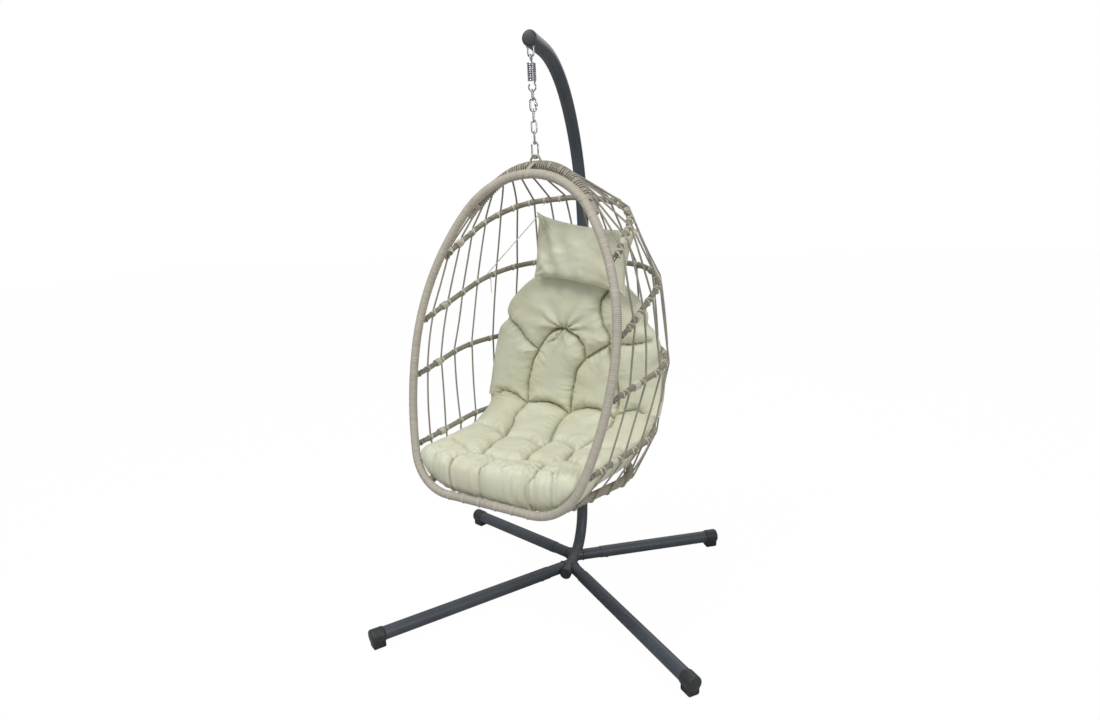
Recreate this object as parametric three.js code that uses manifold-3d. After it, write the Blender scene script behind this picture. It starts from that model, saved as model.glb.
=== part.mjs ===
// Hanging egg chair on a curved steel stand: a woven basket of folding ribs, a tufted cushion
// and a head pillow.
// Millimetres, +Z up. The origin is on the floor, under the middle of the footprint of the feet.
// The stand is symmetric about X = 0 and its post stands behind the chair, on the +Y side.

import * as THREE from 'three';
import { mergeVertices } from 'three/addons/utils/BufferGeometryUtils.js';
import Module from 'manifold-3d';

const wasm = await Module();
wasm.setup();

const DEGREE = Math.PI / 180;
const UP = new THREE.Vector3(0, 0, 1);
const ACROSS = new THREE.Vector3(1, 0, 0);
const BACK = new THREE.Vector3(0, 1, 0);

// Clearances and facets

const SEAT_GAP = 0.3;           // gap left between pieces that touch
const SLIP_GAP = 0.35;          // radial gap of a tube that slips over another
const CUT_OVERRUN = 2;          // how far a cutting body runs past the face that it cuts
const TUBE_SIDES = 14;
const WRAPPED_SIDES = 12;
const RIB_SIDES = 8;
const CORD_SIDES = 5;
const LINK_SIDES = 7;
const BOLT_SIDES = 8;

// Stand: footprint, legs and feet

const FOOTPRINT_DEPTH = 1090;   // front to back over the feet
const LEG_AXIS_HEIGHT = 45;
const LEG_DIAMETER = 50;
const LEG_WALL = 1.5;
const FRONT_LEG_ANGLE = 49.3;   // degrees from the X axis
const REAR_LEG_ANGLE = 28.4;
const FRONT_CROSSING_Y = 135;   // where the two front leg lines meet on the spine
const REAR_CROSSING_Y = 213;
const LEG_START = 112;          // from the crossing to the inner end of a leg
const STUB_INSERT = 70;         // length of a stub inside its leg
const STUB_BORE_START = 95;     // the stub is solid from the spine to here

const FOOT_WALL = 3.5;
const FOOT_SLEEVE_LENGTH = 52;
const FOOT_END_THICKNESS = 5;
const FOOT_EDGE_RUN = 7.5;      // rounded edge of the closed end, across its face
const FOOT_BLOCK_LENGTH = 45;
const FOOT_BLOCK_WIDTH = 43;
const FOOT_BLOCK_CHAMFER = 5;
const FOOT_BLOCK_INSET = 4;     // block set back from the closed end

// Stand: spine, post and arm, one line of tube in the plane X = 0

const TUBE_DIAMETER = 46;
const TUBE_WALL = 1.8;
const SPINE_FRONT_Y = 55;
const SPINE_BEND_Y = 207;
const HUB_REAR_Y = 255;         // the spine is filled with weld between its ends' bores, up to here
const SPINE_BORE_DEPTH = 12;
const SPINE_BEND_RADIUS = 160;
const POST_LEAN = 82.7;         // degrees above the horizontal, leaning back
const POST_STRAIGHT = 1098;
const POST_JOINT_ALONG = 560;   // along the straight, from the bend to the joint of the two tubes
const ARM_FIRST_RADIUS = 633;
const ARM_FIRST_END = 138.4;    // direction of the arm after its first bend, in degrees
const ARM_SECOND_RADIUS = 477;
const ARM_SECOND_END = 176.6;
const ARM_TIP_STRAIGHT = 130;
const SPIGOT_DIAMETER = 41.6;
const SPIGOT_LENGTH = 90;
const SPIGOT_SHOULDER = 4;
const BEND_STEP = 10;           // degrees of tube bend per facet

const CAP_THICKNESS = 4;
const CAP_PLUG_LENGTH = 4.5;
const CAP_PLUG_SHARE = 0.93;    // of the bore's diameter
const CAP_CROWN = 2.5;

const BOLT_DIAMETER = 8;
const BOLT_HEAD_DIAMETER = 15;
const BOLT_HEAD_HEIGHT = 4.4;
const NUT_ACROSS = 13;
const NUT_HEIGHT = 6.5;
const NUT_STANDOFF = 1.5;       // thread that shows past the nut
const HEAD_CROWN_SHARE = 0.3;   // flat top of a bolt head, radius as a share of its diameter
const HEX_SIDES = 6;
const LEG_BOLT_FROM_END = 30;   // from the inner end of the leg to its bolt

// Suspension: wire diameters and centre-line lengths, all on one plumb line

const HANG_Y = -113.6;
const BAIL_WIRE = 6;
const BAIL_WIDTH = 17;
const BAIL_DROP = 25;           // from the underside of the arm to the bail's lowest centre-line
const BAIL_STEPS = 8;
const BAIL_WELD_DEPTH = 6;      // how far its legs reach up into the arm
const SPRING_WIRE = 4.6;
const SPRING_DIAMETER = 24.6;   // of the centre-line
const SPRING_PITCH = 5.15;
const SPRING_TURNS = 9.75;
const SPRING_TOP_HOOK_RADIUS = 8.6;
const SPRING_LOW_HOOK_RADIUS = 11.8;
const SPRING_HOOK_NECK = 4.6;   // rise of the wire between the coil and each hook
const SPRING_TOP_HOOK_START = -60; // degrees round each hook, from its first point to its last
const SPRING_TOP_HOOK_TURN = 310;
const SPRING_LOW_HOOK_START = 62;
const SPRING_LOW_HOOK_TURN = -290;
const SPRING_HOOK_STEPS = 9;
const CURL_STEPS = 8;
const GAP_CHECK_SKIP = 5;       // neighbouring runs of the wire that the gap check leaves out
const GAP_CHECK_PARTS = 4;      // points per run in that check
const SPRING_WIRE_SIDES = 5;
const CHAIN_WIRE = 5;
const LINK_STEPS = 6;           // facets per half round of a link
const CHAIN_WIDTH = 15.6;         // of the centre-line
const CHAIN_LENGTH = 36.6;
const HOOK_LINK_LENGTH = 30;
const QUICK_LINK_WIRE = 6;
const QUICK_LINK_WIDTH = 18;
const QUICK_LINK_LENGTH = 37;
const QUICK_LINK_GAP = 4;       // opening in its side, above its middle, closed by the nut
const SLEEVE_DIAMETER = 10;
const SLEEVE_LENGTH = 9.4;
const CARABINER_WIRE = 6;
const CARABINER_WIDTH = 20;
const CARABINER_LENGTH = 47;
const GATE_WIRE = 5;
const GATE_LENGTH = 24;
const GATE_END_STEPS = 2;       // facets from the tip of the gate's round end to its side
const RING_WIRE = 8;
const RING_RADIUS = 19;         // of the half ring's centre-line
const RING_STEPS = 10;
const RING_SLACK = 0.5;         // more room where the ring crosses the carabiner askew

// Directions in which the links face, in degrees about the plumb line

const HOOK_LINK_TURN = 90;
const QUICK_LINK_TURN = 8.5;
const CHAIN_UPPER_TURN = 96;
const CHAIN_MIDDLE_TURN = 14;
const CHAIN_LOWER_TURN = 112;
const CARABINER_TURN = 38;

// Basket: the hoop is a flat egg outline that leans back; places are from the ring's seat

const BASKET_TURN = -17.5;      // degrees about the plumb line
const HOOP_LEAN = 17.6;
const HOOP_TOP_FORWARD = 43;
const HOOP_TOP_DROP = 53.4;
const HOOP_TUBE = 29;
const HOOP_HEIGHT = 1050;
const HOOP_WIDTH = 778;
const HOOP_TOP_RADIUS = 300;
const HOOP_WIDEST_DROP = 567;
const HOOP_LOW_SIDE_RADIUS = 1204;
const HOOP_CORNER_RADIUS = 170;
const HOOP_STEP = 9;            // degrees of bend per facet in the tight arcs
const HOOP_SIDE_STEPS = 6;

const ARCH_TUBE = 27;
const ARCH_HALF_SPAN = 242;
const ARCH_DROP = 31.7;
const ARCH_BACK = 4;
const ARCH_POWER = 2.29;
const ARCH_STEPS = 22;

const RIB_TUBE = 18;
const RIB_PIVOT_SETBACK = 30;   // from the hoop's centre-line back to the rib bolts
const RIB_TAB_THICKNESS = 5;
const RIB_TAB_ROUNDNESS = 0.35; // 1 would be an oval, 0 a rectangle
const RIB_TAB_HEIGHT = 20;
const RIB_TAB_END = 9;          // past the bolt
const RIB_TAB_LENGTH = 16;      // behind the bolt, flat
const RIB_TAB_BLEND = 26;       // where the flat end runs out into the round tube
const LUG_THICKNESS = 4;
const LUG_HEIGHT = 20;
const LUG_ROUND_STEPS = 3;
const RIB_BOLT_DIAMETER = 6;
const RIB_BOLT_HEAD = 12;
const RIB_BOLT_HEAD_HEIGHT = 3.4;
const RIB_DRILL_LENGTH = 36;
const RIB_NUT_ACROSS = 10;
const RIB_NUT_HEIGHT = 5;
const RIB_CORNER_STEPS = 8;

// Each rib: drop of its bolts down the hoop, rise of its plane in degrees, half width and depth
// of its rear corner, crown of its rear run and bend radius of that corner

const RIBS = [
  { name: 'rib_top', drop: 252, tilt: 29.7, corner: 267, depth: 310, crown: 36, bend: 223 },
  { name: 'rib_upper', drop: 471, tilt: 19.2, corner: 349, depth: 462, crown: 20, bend: 232 },
  { name: 'rib_lower', drop: 662, tilt: 8, corner: 448, depth: 504, crown: 21, bend: 273 },
  { name: 'rib_seat', drop: 900, tilt: 2.3, corner: 391, depth: 612, crown: 23, bend: 321 },
];
const BASE_RIB_RISE = 28;       // of its ends above the hoop's low end, along the hoop
const BASE_RIB = {
  name: 'rib_base', drop: HOOP_HEIGHT - BASE_RIB_RISE, tilt: -1.5, corner: 345, depth: 520,
  crown: 60, bend: 240,
};
const BASE_RIB_TUBE = 26;       // wound thicker than the others

const CORD_DIAMETER = 5.5;
const CORD_PAIRS = 9;
const CORD_END_SHARE = 0.045;   // first and last cord, as a share of each rib's length
const CORD_ARCH_FIRST = 33;     // along the arch from its middle to the nearest cord
const CORD_ARCH_PITCH = 23;
const CORD_SLACK = 0.2;         // between a cord and the tube that it goes round
const CORD_BEND_STEP = 30;      // degrees per facet where a cord goes round a tube
const CORD_HOOK_START = -125;   // degrees round the arch at which a cord's tied end begins
const CORD_RIB_END = 165;       // degrees round the base rib at which a side cord turns back
const CORD_HOOP_END = -150;     // degrees round the hoop at which a seat cord turns back
const SEAT_CORD_PAIRS = [3, 4, 5]; // these pairs run on forward under the seat to the hoop
const SEAT_CORD_FRONT_SHARE = 0.8; // they close up a little towards the front

// Seat cushion: a tufted sheet bent from seat to back; its route is the middle of its thickness

const CUSHION_ROUTE = [
  { y: -362, z: -988 }, { y: -250, z: -986 }, { y: -100, z: -984 }, { y: 60, z: -977 },
  { y: 168, z: -952 }, { y: 224, z: -903 }, { y: 242, z: -835 }, { y: 242, z: -715 },
  { y: 237, z: -600 }, { y: 231, z: -480 }, { y: 227, z: -400 }, { y: 225, z: -362 },
];
const CUSHION_HALF_WIDTHS = [
  [0, 306], [20, 326], [60, 332], [240, 335], [360, 341], [500, 340], [650, 338], [760, 320],
  [850, 300], [920, 282], [950, 248], [980, 266], [1020, 254], [1060, 222], [1100, 174],
  [1138, 110],
];

// How far its sides lean in, like the bowl that it lies in, as [along, lean]

const CUSHION_SIDE_RISES = [
  [0, 34], [360, 36], [480, 70], [600, 118], [700, 112], [850, 90], [1000, 70], [1100, 50],
];
const CUSHION_THICKNESS = 112;
const CUSHION_FRONT_FACE = 34;  // run over which its front and top ends reach full thickness
const CUSHION_FRONT_BOW = 40;   // how far its front corners are drawn back behind the hoop
const CUSHION_BOW_RUN = 260;
const CUSHION_CROWN_POWER = 4;  // the higher, the flatter it is across
const CUSHION_RISE_POWER = 3;   // the higher, the nearer to its sides it leans in
const CUSHION_COLUMNS = 18;
const CUSHION_ROWS = 28;
const SHEET_EDGE_SHARE = 0.45;  // how far the columns of a sheet crowd towards its sides
const TUFT_DEPTH_SHARE = 0.55;  // of half the thickness, left out at each tuft
const TUFT_SPREAD = 30;
const CREASE_DEPTH_SHARE = 0.16;
const CREASE_SPREAD = 22;

// Tufts as [across, along the route]

const TUFTS = [
  [-122, 112], [46, 138], [168, 152], [-240, 70], [262, 96], [-148, 298], [17, 277], [150, 300],
  [-203, 430], [89, 452], [-60, 436], [210, 440], [-217, 558], [-25, 566], [160, 572], [-190, 700],
  [200, 705], [-159, 812], [27, 796], [-31, 926], [113, 878], [-180, 940],
];
const CREASE_REACH = 215;       // tufts nearer than this are joined by a gathered crease

const PILLOW_WIDTH = 376;
const PILLOW_HEIGHT = 206;
const PILLOW_THICKNESS = 84;
const PILLOW_PLACE = { x: 74, y: 138.5, z: -314 };
const PILLOW_LEAN = 6;          // degrees, top towards the back
const PILLOW_ROLL = 8.5;        // degrees, right side low
const PILLOW_COLUMNS = 10;
const PILLOW_ROWS = 10;
const PILLOW_CROWN_POWER = 3;
const PILLOW_WAIST_SHARE = 0.07; // how far the middle of each side draws in

const TIE_DIAMETER = 4;
const TIE_RIB_SHARE = 0.235;    // along the rib from its right end to the tie
const TIE_WRAP = 225;           // degrees that it goes round the rib
const TIE_TAIL = 60;

const COLORS = {
  steel: 0x3e444a, plastic: 0x26292c, zinc: 0xb9bcbd, wicker: 0xbab0a2, rib: 0xa0988a,
  cord: 0x8c8478, fabric: 0xd0d2b4, ties: 0xe6e6d8,
};

// Materials and geometry helpers

function finish(name) {
  const table = {
    steel: { color: COLORS.steel, roughness: 0.5, metalness: 0.3 },
    plastic: { color: COLORS.plastic, roughness: 0.6, metalness: 0 },
    zinc: { color: COLORS.zinc, roughness: 0.3, metalness: 0.9 },
    wicker: { color: COLORS.wicker, roughness: 0.7, metalness: 0 },
    rib: { color: COLORS.rib, roughness: 0.7, metalness: 0 },
    cord: { color: COLORS.cord, roughness: 0.7, metalness: 0 },
    fabric: { color: COLORS.fabric, roughness: 0.85, metalness: 0 },
    ties: { color: COLORS.ties, roughness: 0.9, metalness: 0 },
  };
  return new THREE.MeshStandardMaterial(table[name]);
}

function vec(x, y, z) {
  return new THREE.Vector3(x, y, z);
}

function indexed(positions, indices) {
  const geometry = new THREE.BufferGeometry();
  geometry.setAttribute('position', new THREE.Float32BufferAttribute(positions, 3));
  geometry.setIndex(indices);
  geometry.computeVertexNormals();
  return geometry;
}

function toSolid(geometry) {
  const bare = geometry.clone();
  bare.deleteAttribute('normal');
  bare.deleteAttribute('uv');
  const merged = mergeVertices(bare, SEAT_GAP / 1000);
  return new wasm.Manifold(new wasm.Mesh({
    numProp: 3,
    vertProperties: new Float32Array(merged.attributes.position.array),
    triVerts: new Uint32Array(merged.index.array),
  }));
}

function toGeometry(solid) {
  const mesh = solid.getMesh();
  return indexed(Array.from(mesh.vertProperties), Array.from(mesh.triVerts));
}

function named(name, geometry, material) {
  const mesh = new THREE.Mesh(geometry, finish(material));
  mesh.name = name;
  return mesh;
}

// Tangents of a route: the mean direction of the two runs that meet at each point

function tangents(points, closed) {
  const count = points.length;
  return points.map((point, i) => {
    const before = closed ? points[(i + count - 1) % count] : points[Math.max(i - 1, 0)];
    const after = closed ? points[(i + 1) % count] : points[Math.min(i + 1, count - 1)];
    const incoming = point.clone().sub(before);
    const outgoing = after.clone().sub(point);
    if (incoming.lengthSq() > 0) incoming.normalize();
    if (outgoing.lengthSq() > 0) outgoing.normalize();
    return incoming.add(outgoing).normalize();
  });
}

// Frames that turn as little as possible along a route, starting from a given side direction

function frames(points, side, closed) {
  const along = tangents(points, closed);
  const first = side.clone().addScaledVector(along[0], -side.dot(along[0])).normalize();
  const sides = [first];
  for (let i = 1; i < points.length; i += 1) {
    const turn = new THREE.Quaternion().setFromUnitVectors(along[i - 1], along[i]);
    const moved = sides[i - 1].clone().applyQuaternion(turn);
    moved.addScaledVector(along[i], -moved.dot(along[i])).normalize();
    sides.push(moved);
  }
  return points.map((point, i) => ({
    point, along: along[i], side: sides[i], rise: new THREE.Vector3().crossVectors(along[i], sides[i]),
  }));
}

// One closed tube along a route. size(i) gives its half sizes along the side and rise directions
// and how round it is, 1 for an oval and 0 for a rectangle.

function sweep(points, size, sides, side, closed = false) {
  const stations = frames(points, side, closed);
  const positions = [];
  const indices = [];
  const count = stations.length;
  stations.forEach((station, i) => {
    const [halfSide, halfRise, power] = size(i);
    for (let k = 0; k < sides; k += 1) {
      const angle = (2 * Math.PI * (k + 1 / 2)) / sides;
      const c = Math.sign(Math.cos(angle)) * Math.abs(Math.cos(angle)) ** power;
      const s = Math.sign(Math.sin(angle)) * Math.abs(Math.sin(angle)) ** power;
      const place = station.point.clone();
      place.addScaledVector(station.side, halfSide * c).addScaledVector(station.rise, halfRise * s);
      positions.push(place.x, place.y, place.z);
    }
  });
  const runs = closed ? count : count - 1;
  for (let i = 0; i < runs; i += 1) {
    for (let k = 0; k < sides; k += 1) {
      const here = i * sides;
      const next = ((i + 1) % count) * sides;
      const kk = (k + 1) % sides;
      indices.push(here + k, here + kk, next + kk, here + k, next + kk, next + k);
    }
  }
  if (!closed) {
    const last = (count - 1) * sides;
    for (let k = 1; k < sides - 1; k += 1) {
      indices.push(0, k + 1, k);
      indices.push(last, last + k, last + k + 1);
    }
  }
  return indexed(positions, indices);
}

function round(radius) {
  return () => [radius, radius, 1];
}

function tube(points, diameter, sides, side = ACROSS, closed = false) {
  return sweep(points, round(diameter / 2), sides, side, closed);
}

// A solid of revolution about a line, from [radius, height] pairs that start and end on the axis

function turned(profile, base, direction, sides) {
  const outline = profile.map(([radius, height]) => new THREE.Vector2(radius, height));
  const geometry = new THREE.LatheGeometry(outline, sides);
  const turn = new THREE.Quaternion().setFromUnitVectors(BACK, direction.clone().normalize());
  geometry.applyQuaternion(turn);
  geometry.translate(base.x, base.y, base.z);
  return geometry;
}

// A bolt with its nut: button head outside, shank through the joint, hexagonal nut inside

function boltWithNut(place, inward, grip, shank, head, headHeight, nutAcross, nutHeight) {
  const tip = grip + nutHeight + NUT_STANDOFF;
  const bolt = toSolid(turned([
    [0, -headHeight], [head * HEAD_CROWN_SHARE, -headHeight], [head / 2, -headHeight / 2], [head / 2, 0],
    [shank / 2, 0], [shank / 2, tip], [0, tip],
  ], place, inward, BOLT_SIDES));
  const nutRadius = nutAcross / Math.sqrt(3);
  const nut = toSolid(turned([
    [0, grip], [nutRadius, grip], [nutRadius, grip + nutHeight], [0, grip + nutHeight],
  ], place, inward, HEX_SIDES));
  return toGeometry(bolt.add(nut));
}

// Stand

const legRadius = LEG_DIAMETER / 2;
const boltHole = BOLT_DIAMETER / 2 + SEAT_GAP;
const lowerBore = SPIGOT_DIAMETER - 2 * TUBE_WALL;
const stubDiameter = LEG_DIAMETER - 2 * LEG_WALL - 2 * SLIP_GAP;
const footOuter = LEG_DIAMETER + 2 * FOOT_WALL;

const LEGS = [
  { place: 'front_left', xSign: -1, ySign: -1, angle: FRONT_LEG_ANGLE, crossing: FRONT_CROSSING_Y },
  { place: 'front_right', xSign: 1, ySign: -1, angle: FRONT_LEG_ANGLE, crossing: FRONT_CROSSING_Y },
  { place: 'rear_right', xSign: 1, ySign: 1, angle: REAR_LEG_ANGLE, crossing: REAR_CROSSING_Y },
  { place: 'rear_left', xSign: -1, ySign: 1, angle: REAR_LEG_ANGLE, crossing: REAR_CROSSING_Y },
];

// A leg's own group has its origin at the crossing and +X out along the leg

function legFrame(leg) {
  const alongX = leg.xSign * Math.cos(leg.angle * DEGREE);
  const alongY = leg.ySign * Math.sin(leg.angle * DEGREE);
  const turn = Math.atan2(alongY, alongX);
  const halfDepth = FOOTPRINT_DEPTH / 2 - (footOuter / 2) * Math.cos(leg.angle * DEGREE);
  const reach = (halfDepth - leg.ySign * leg.crossing) / Math.sin(leg.angle * DEGREE);
  return { turn, reach };
}

function rod(from, to, diameter) {
  return toSolid(tube([vec(from, 0, 0), vec(to, 0, 0)], diameter, TUBE_SIDES, UP));
}

function legTube(leg) {
  const { reach } = legFrame(leg);
  const end = reach - FOOT_END_THICKNESS - SEAT_GAP;
  const bore = rod(LEG_START - CUT_OVERRUN, end + CUT_OVERRUN, LEG_DIAMETER - 2 * LEG_WALL);
  const tubeSolid = rod(LEG_START, end, LEG_DIAMETER).subtract(bore);
  const bolt = vec(LEG_START + LEG_BOLT_FROM_END, 0, -legRadius - CUT_OVERRUN);
  const drill = toSolid(turned([
    [0, 0], [boltHole, 0], [boltHole, legRadius], [0, legRadius],
  ], bolt, UP, BOLT_SIDES));
  return toGeometry(tubeSolid.subtract(drill));
}

// A foot: a sleeve with a closed, rounded end over the leg, on a rectangular pad

function foot(leg) {
  const { reach } = legFrame(leg);
  const sleeve = toSolid(turned([
    [0, 0], [footOuter / 2 - FOOT_EDGE_RUN, 0], [footOuter / 2, FOOT_END_THICKNESS],
    [footOuter / 2, FOOT_SLEEVE_LENGTH - FOOT_WALL], [footOuter / 2 - FOOT_WALL / 2, FOOT_SLEEVE_LENGTH],
    [0, FOOT_SLEEVE_LENGTH],
  ], vec(reach, 0, 0), vec(-1, 0, 0), TUBE_SIDES));
  const halfWidth = FOOT_BLOCK_WIDTH / 2;
  const outline = new THREE.Shape();
  outline.moveTo(-halfWidth + FOOT_BLOCK_CHAMFER, -LEG_AXIS_HEIGHT);
  outline.lineTo(halfWidth - FOOT_BLOCK_CHAMFER, -LEG_AXIS_HEIGHT);
  outline.lineTo(halfWidth, -LEG_AXIS_HEIGHT + FOOT_BLOCK_CHAMFER);
  outline.lineTo(halfWidth, 0);
  outline.lineTo(-halfWidth, 0);
  outline.lineTo(-halfWidth, -LEG_AXIS_HEIGHT + FOOT_BLOCK_CHAMFER);
  outline.closePath();
  const block = new THREE.ExtrudeGeometry(outline, { depth: FOOT_BLOCK_LENGTH, bevelEnabled: false });
  block.rotateX(Math.PI / 2);
  block.rotateZ(Math.PI / 2);
  block.translate(reach - FOOT_BLOCK_INSET - FOOT_BLOCK_LENGTH, 0, 0);
  const bore = rod(
    reach - FOOT_SLEEVE_LENGTH - CUT_OVERRUN, reach - FOOT_END_THICKNESS, LEG_DIAMETER + 2 * SLIP_GAP,
  );
  return toGeometry(sleeve.add(toSolid(block)).subtract(bore));
}

function legBolt() {
  const innerFlat = (stubDiameter / 2 - TUBE_WALL) * Math.cos(Math.PI / TUBE_SIDES);
  const nutSeat = Math.sqrt(innerFlat ** 2 - NUT_ACROSS ** 2 / 3);
  const grip = legRadius + 2 * SEAT_GAP - nutSeat;
  return boltWithNut(
    vec(LEG_START + LEG_BOLT_FROM_END, 0, -legRadius - SEAT_GAP), UP, grip,
    BOLT_DIAMETER, BOLT_HEAD_DIAMETER, BOLT_HEAD_HEIGHT, NUT_ACROSS, NUT_HEIGHT,
  );
}

// The line of the spine, post and arm as points in the plane X = 0, each with its direction

function bend(points, radius, endAngle) {
  const { y, z, angle } = points[points.length - 1];
  const steps = Math.max(1, Math.ceil((endAngle - angle) / BEND_STEP));
  for (let i = 1; i <= steps; i += 1) {
    const next = angle + ((endAngle - angle) * i) / steps;
    points.push({
      y: y + radius * (Math.sin(next * DEGREE) - Math.sin(angle * DEGREE)),
      z: z - radius * (Math.cos(next * DEGREE) - Math.cos(angle * DEGREE)),
      angle: next,
    });
  }
}

function straight(points, length) {
  const { y, z, angle } = points[points.length - 1];
  points.push({
    y: y + length * Math.cos(angle * DEGREE), z: z + length * Math.sin(angle * DEGREE), angle,
  });
}

function lowerLine() {
  const points = [{ y: SPINE_FRONT_Y, z: LEG_AXIS_HEIGHT, angle: 0 }];
  straight(points, SPINE_BEND_Y - SPINE_FRONT_Y);
  bend(points, SPINE_BEND_RADIUS, POST_LEAN);
  straight(points, POST_JOINT_ALONG);
  return points;
}

function upperLine() {
  const points = [lowerLine().pop()];
  straight(points, POST_STRAIGHT - POST_JOINT_ALONG);
  bend(points, ARM_FIRST_RADIUS, ARM_FIRST_END);
  bend(points, ARM_SECOND_RADIUS, ARM_SECOND_END);
  straight(points, ARM_TIP_STRAIGHT);
  return points;
}

function toRoute(points) {
  return points.map(({ y, z }) => vec(0, y, z));
}

function lengthened(route, before, after) {
  const copy = route.map((point) => point.clone());
  const startWay = copy[0].clone().sub(copy[1]).normalize();
  const last = copy.length - 1;
  const endWay = copy[last].clone().sub(copy[last - 1]).normalize();
  copy[0].addScaledVector(startWay, before);
  copy[last].addScaledVector(endWay, after);
  return copy;
}

// Lower post: spine, bend and post in one tube, with four welded stubs and a spigot at its top

function lowerPost() {
  const route = toRoute(lowerLine());
  let body = toSolid(tube(route, TUBE_DIAMETER, TUBE_SIDES));
  const spigotEnd = lengthened(route, 0, SPIGOT_LENGTH);
  const last = route.length - 1;
  const shoulder = route[last].clone().lerp(spigotEnd[last], -SPIGOT_SHOULDER / SPIGOT_LENGTH);
  const spigotRoute = [shoulder, spigotEnd[last]];
  body = body.add(toSolid(tube(spigotRoute, SPIGOT_DIAMETER, TUBE_SIDES)));
  const stubEnd = LEG_START + STUB_INSERT;
  const stubBores = [];
  LEGS.forEach((leg) => {
    const { turn } = legFrame(leg);
    const way = vec(Math.cos(turn), Math.sin(turn), 0);
    const from = vec(0, leg.crossing, LEG_AXIS_HEIGHT);
    const at = (distance) => from.clone().addScaledVector(way, distance);
    body = body.add(toSolid(tube([at(0), at(stubEnd)], stubDiameter, TUBE_SIDES, UP)));
    stubBores.push(toSolid(tube(
      [at(STUB_BORE_START), at(stubEnd + CUT_OVERRUN)], stubDiameter - 2 * TUBE_WALL, TUBE_SIDES, UP,
    )));
    const hole = at(LEG_START + LEG_BOLT_FROM_END);
    hole.z -= stubDiameter;
    stubBores.push(toSolid(turned([
      [0, 0], [boltHole, 0], [boltHole, stubDiameter], [0, stubDiameter],
    ], hole, UP, BOLT_SIDES)));
  });
  const boreRoute = lengthened(route.filter(({ y }) => y > HUB_REAR_Y), 0, SPIGOT_LENGTH + CUT_OVERRUN);
  body = body.subtract(toSolid(tube(boreRoute, lowerBore, TUBE_SIDES)));
  const frontEnd = route[0].clone().setY(SPINE_FRONT_Y + SPINE_BORE_DEPTH);
  const front = lengthened([route[0], frontEnd], CUT_OVERRUN, 0);
  body = body.subtract(toSolid(tube(front, lowerBore, TUBE_SIDES)));
  stubBores.forEach((bore) => {
    body = body.subtract(bore);
  });
  const bolt = postBoltPlace();
  body = body.subtract(postBoltDrill(bolt));
  return toGeometry(body);
}

function postBoltPlace() {
  const points = lowerLine();
  const { y, z, angle } = points[points.length - 1];
  const along = SPIGOT_LENGTH / 2;
  return vec(0, y + along * Math.cos(angle * DEGREE), z + along * Math.sin(angle * DEGREE));
}

function postBoltDrill(centre) {
  const start = centre.clone();
  start.x = -TUBE_DIAMETER;
  return toSolid(turned([
    [0, 0], [boltHole, 0], [boltHole, 2 * TUBE_DIAMETER], [0, 2 * TUBE_DIAMETER],
  ], start, ACROSS, BOLT_SIDES));
}

function postBolt() {
  const place = postBoltPlace();
  place.x = -TUBE_DIAMETER / 2 - SEAT_GAP;
  return boltWithNut(
    place, ACROSS, TUBE_DIAMETER + 2 * SEAT_GAP,
    BOLT_DIAMETER, BOLT_HEAD_DIAMETER, BOLT_HEAD_HEIGHT, NUT_ACROSS, NUT_HEIGHT,
  );
}

// Upper arm: slips over the spigot and curves forward over the chair; the bail is let into it

function bailSolid(extra) {
  const top = armUnderside() + BAIL_WELD_DEPTH;
  const low = armUnderside() - BAIL_DROP;
  const radius = BAIL_WIDTH / 2;
  const points = [vec(-radius, HANG_Y, top)];
  for (let i = 0; i <= BAIL_STEPS; i += 1) {
    const angle = Math.PI + (Math.PI * i) / BAIL_STEPS;
    points.push(vec(radius * Math.cos(angle), HANG_Y, low + radius + radius * Math.sin(angle)));
  }
  points.push(vec(radius, HANG_Y, top));
  return tube(points, BAIL_WIRE + extra, LINK_SIDES, BACK);
}

function armHeightAt(y) {
  const points = upperLine();
  for (let i = 1; i < points.length; i += 1) {
    const a = points[i - 1];
    const b = points[i];
    if (b.z > a.z - TUBE_DIAMETER && (a.y - y) * (b.y - y) <= 0 && a.angle > 90) {
      return a.z + ((b.z - a.z) * (a.y - y)) / (a.y - b.y);
    }
  }
  return points[points.length - 1].z;
}

function armUnderside() {
  return armHeightAt(HANG_Y) - TUBE_DIAMETER / 2;
}

function upperArm() {
  const route = toRoute(upperLine());
  const start = route[0].clone().lerp(route[1], SEAT_GAP / (POST_STRAIGHT - POST_JOINT_ALONG));
  const outerRoute = [start, ...route.slice(1)];
  let body = toSolid(tube(outerRoute, TUBE_DIAMETER, TUBE_SIDES));
  const boreRoute = lengthened(outerRoute, CUT_OVERRUN, CUT_OVERRUN);
  body = body.subtract(toSolid(tube(boreRoute, TUBE_DIAMETER - 2 * TUBE_WALL, TUBE_SIDES)));
  body = body.subtract(postBoltDrill(postBoltPlace()));
  body = body.subtract(toSolid(bailSolid(2 * SEAT_GAP)));
  return toGeometry(body);
}

// A plug with a flat crown that closes an open tube end

function tubeCap(place, outward, bore) {
  const edge = TUBE_DIAMETER / 2;
  const plug = (bore / 2) * CAP_PLUG_SHARE;
  return turned([
    [0, -CAP_PLUG_LENGTH], [plug, -CAP_PLUG_LENGTH], [plug, SEAT_GAP], [edge, SEAT_GAP],
    [edge, CAP_THICKNESS - CAP_CROWN / 2], [edge - CAP_CROWN, CAP_THICKNESS],
    [0, CAP_THICKNESS + CAP_CROWN / 2],
  ], place, outward, TUBE_SIDES);
}

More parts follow.
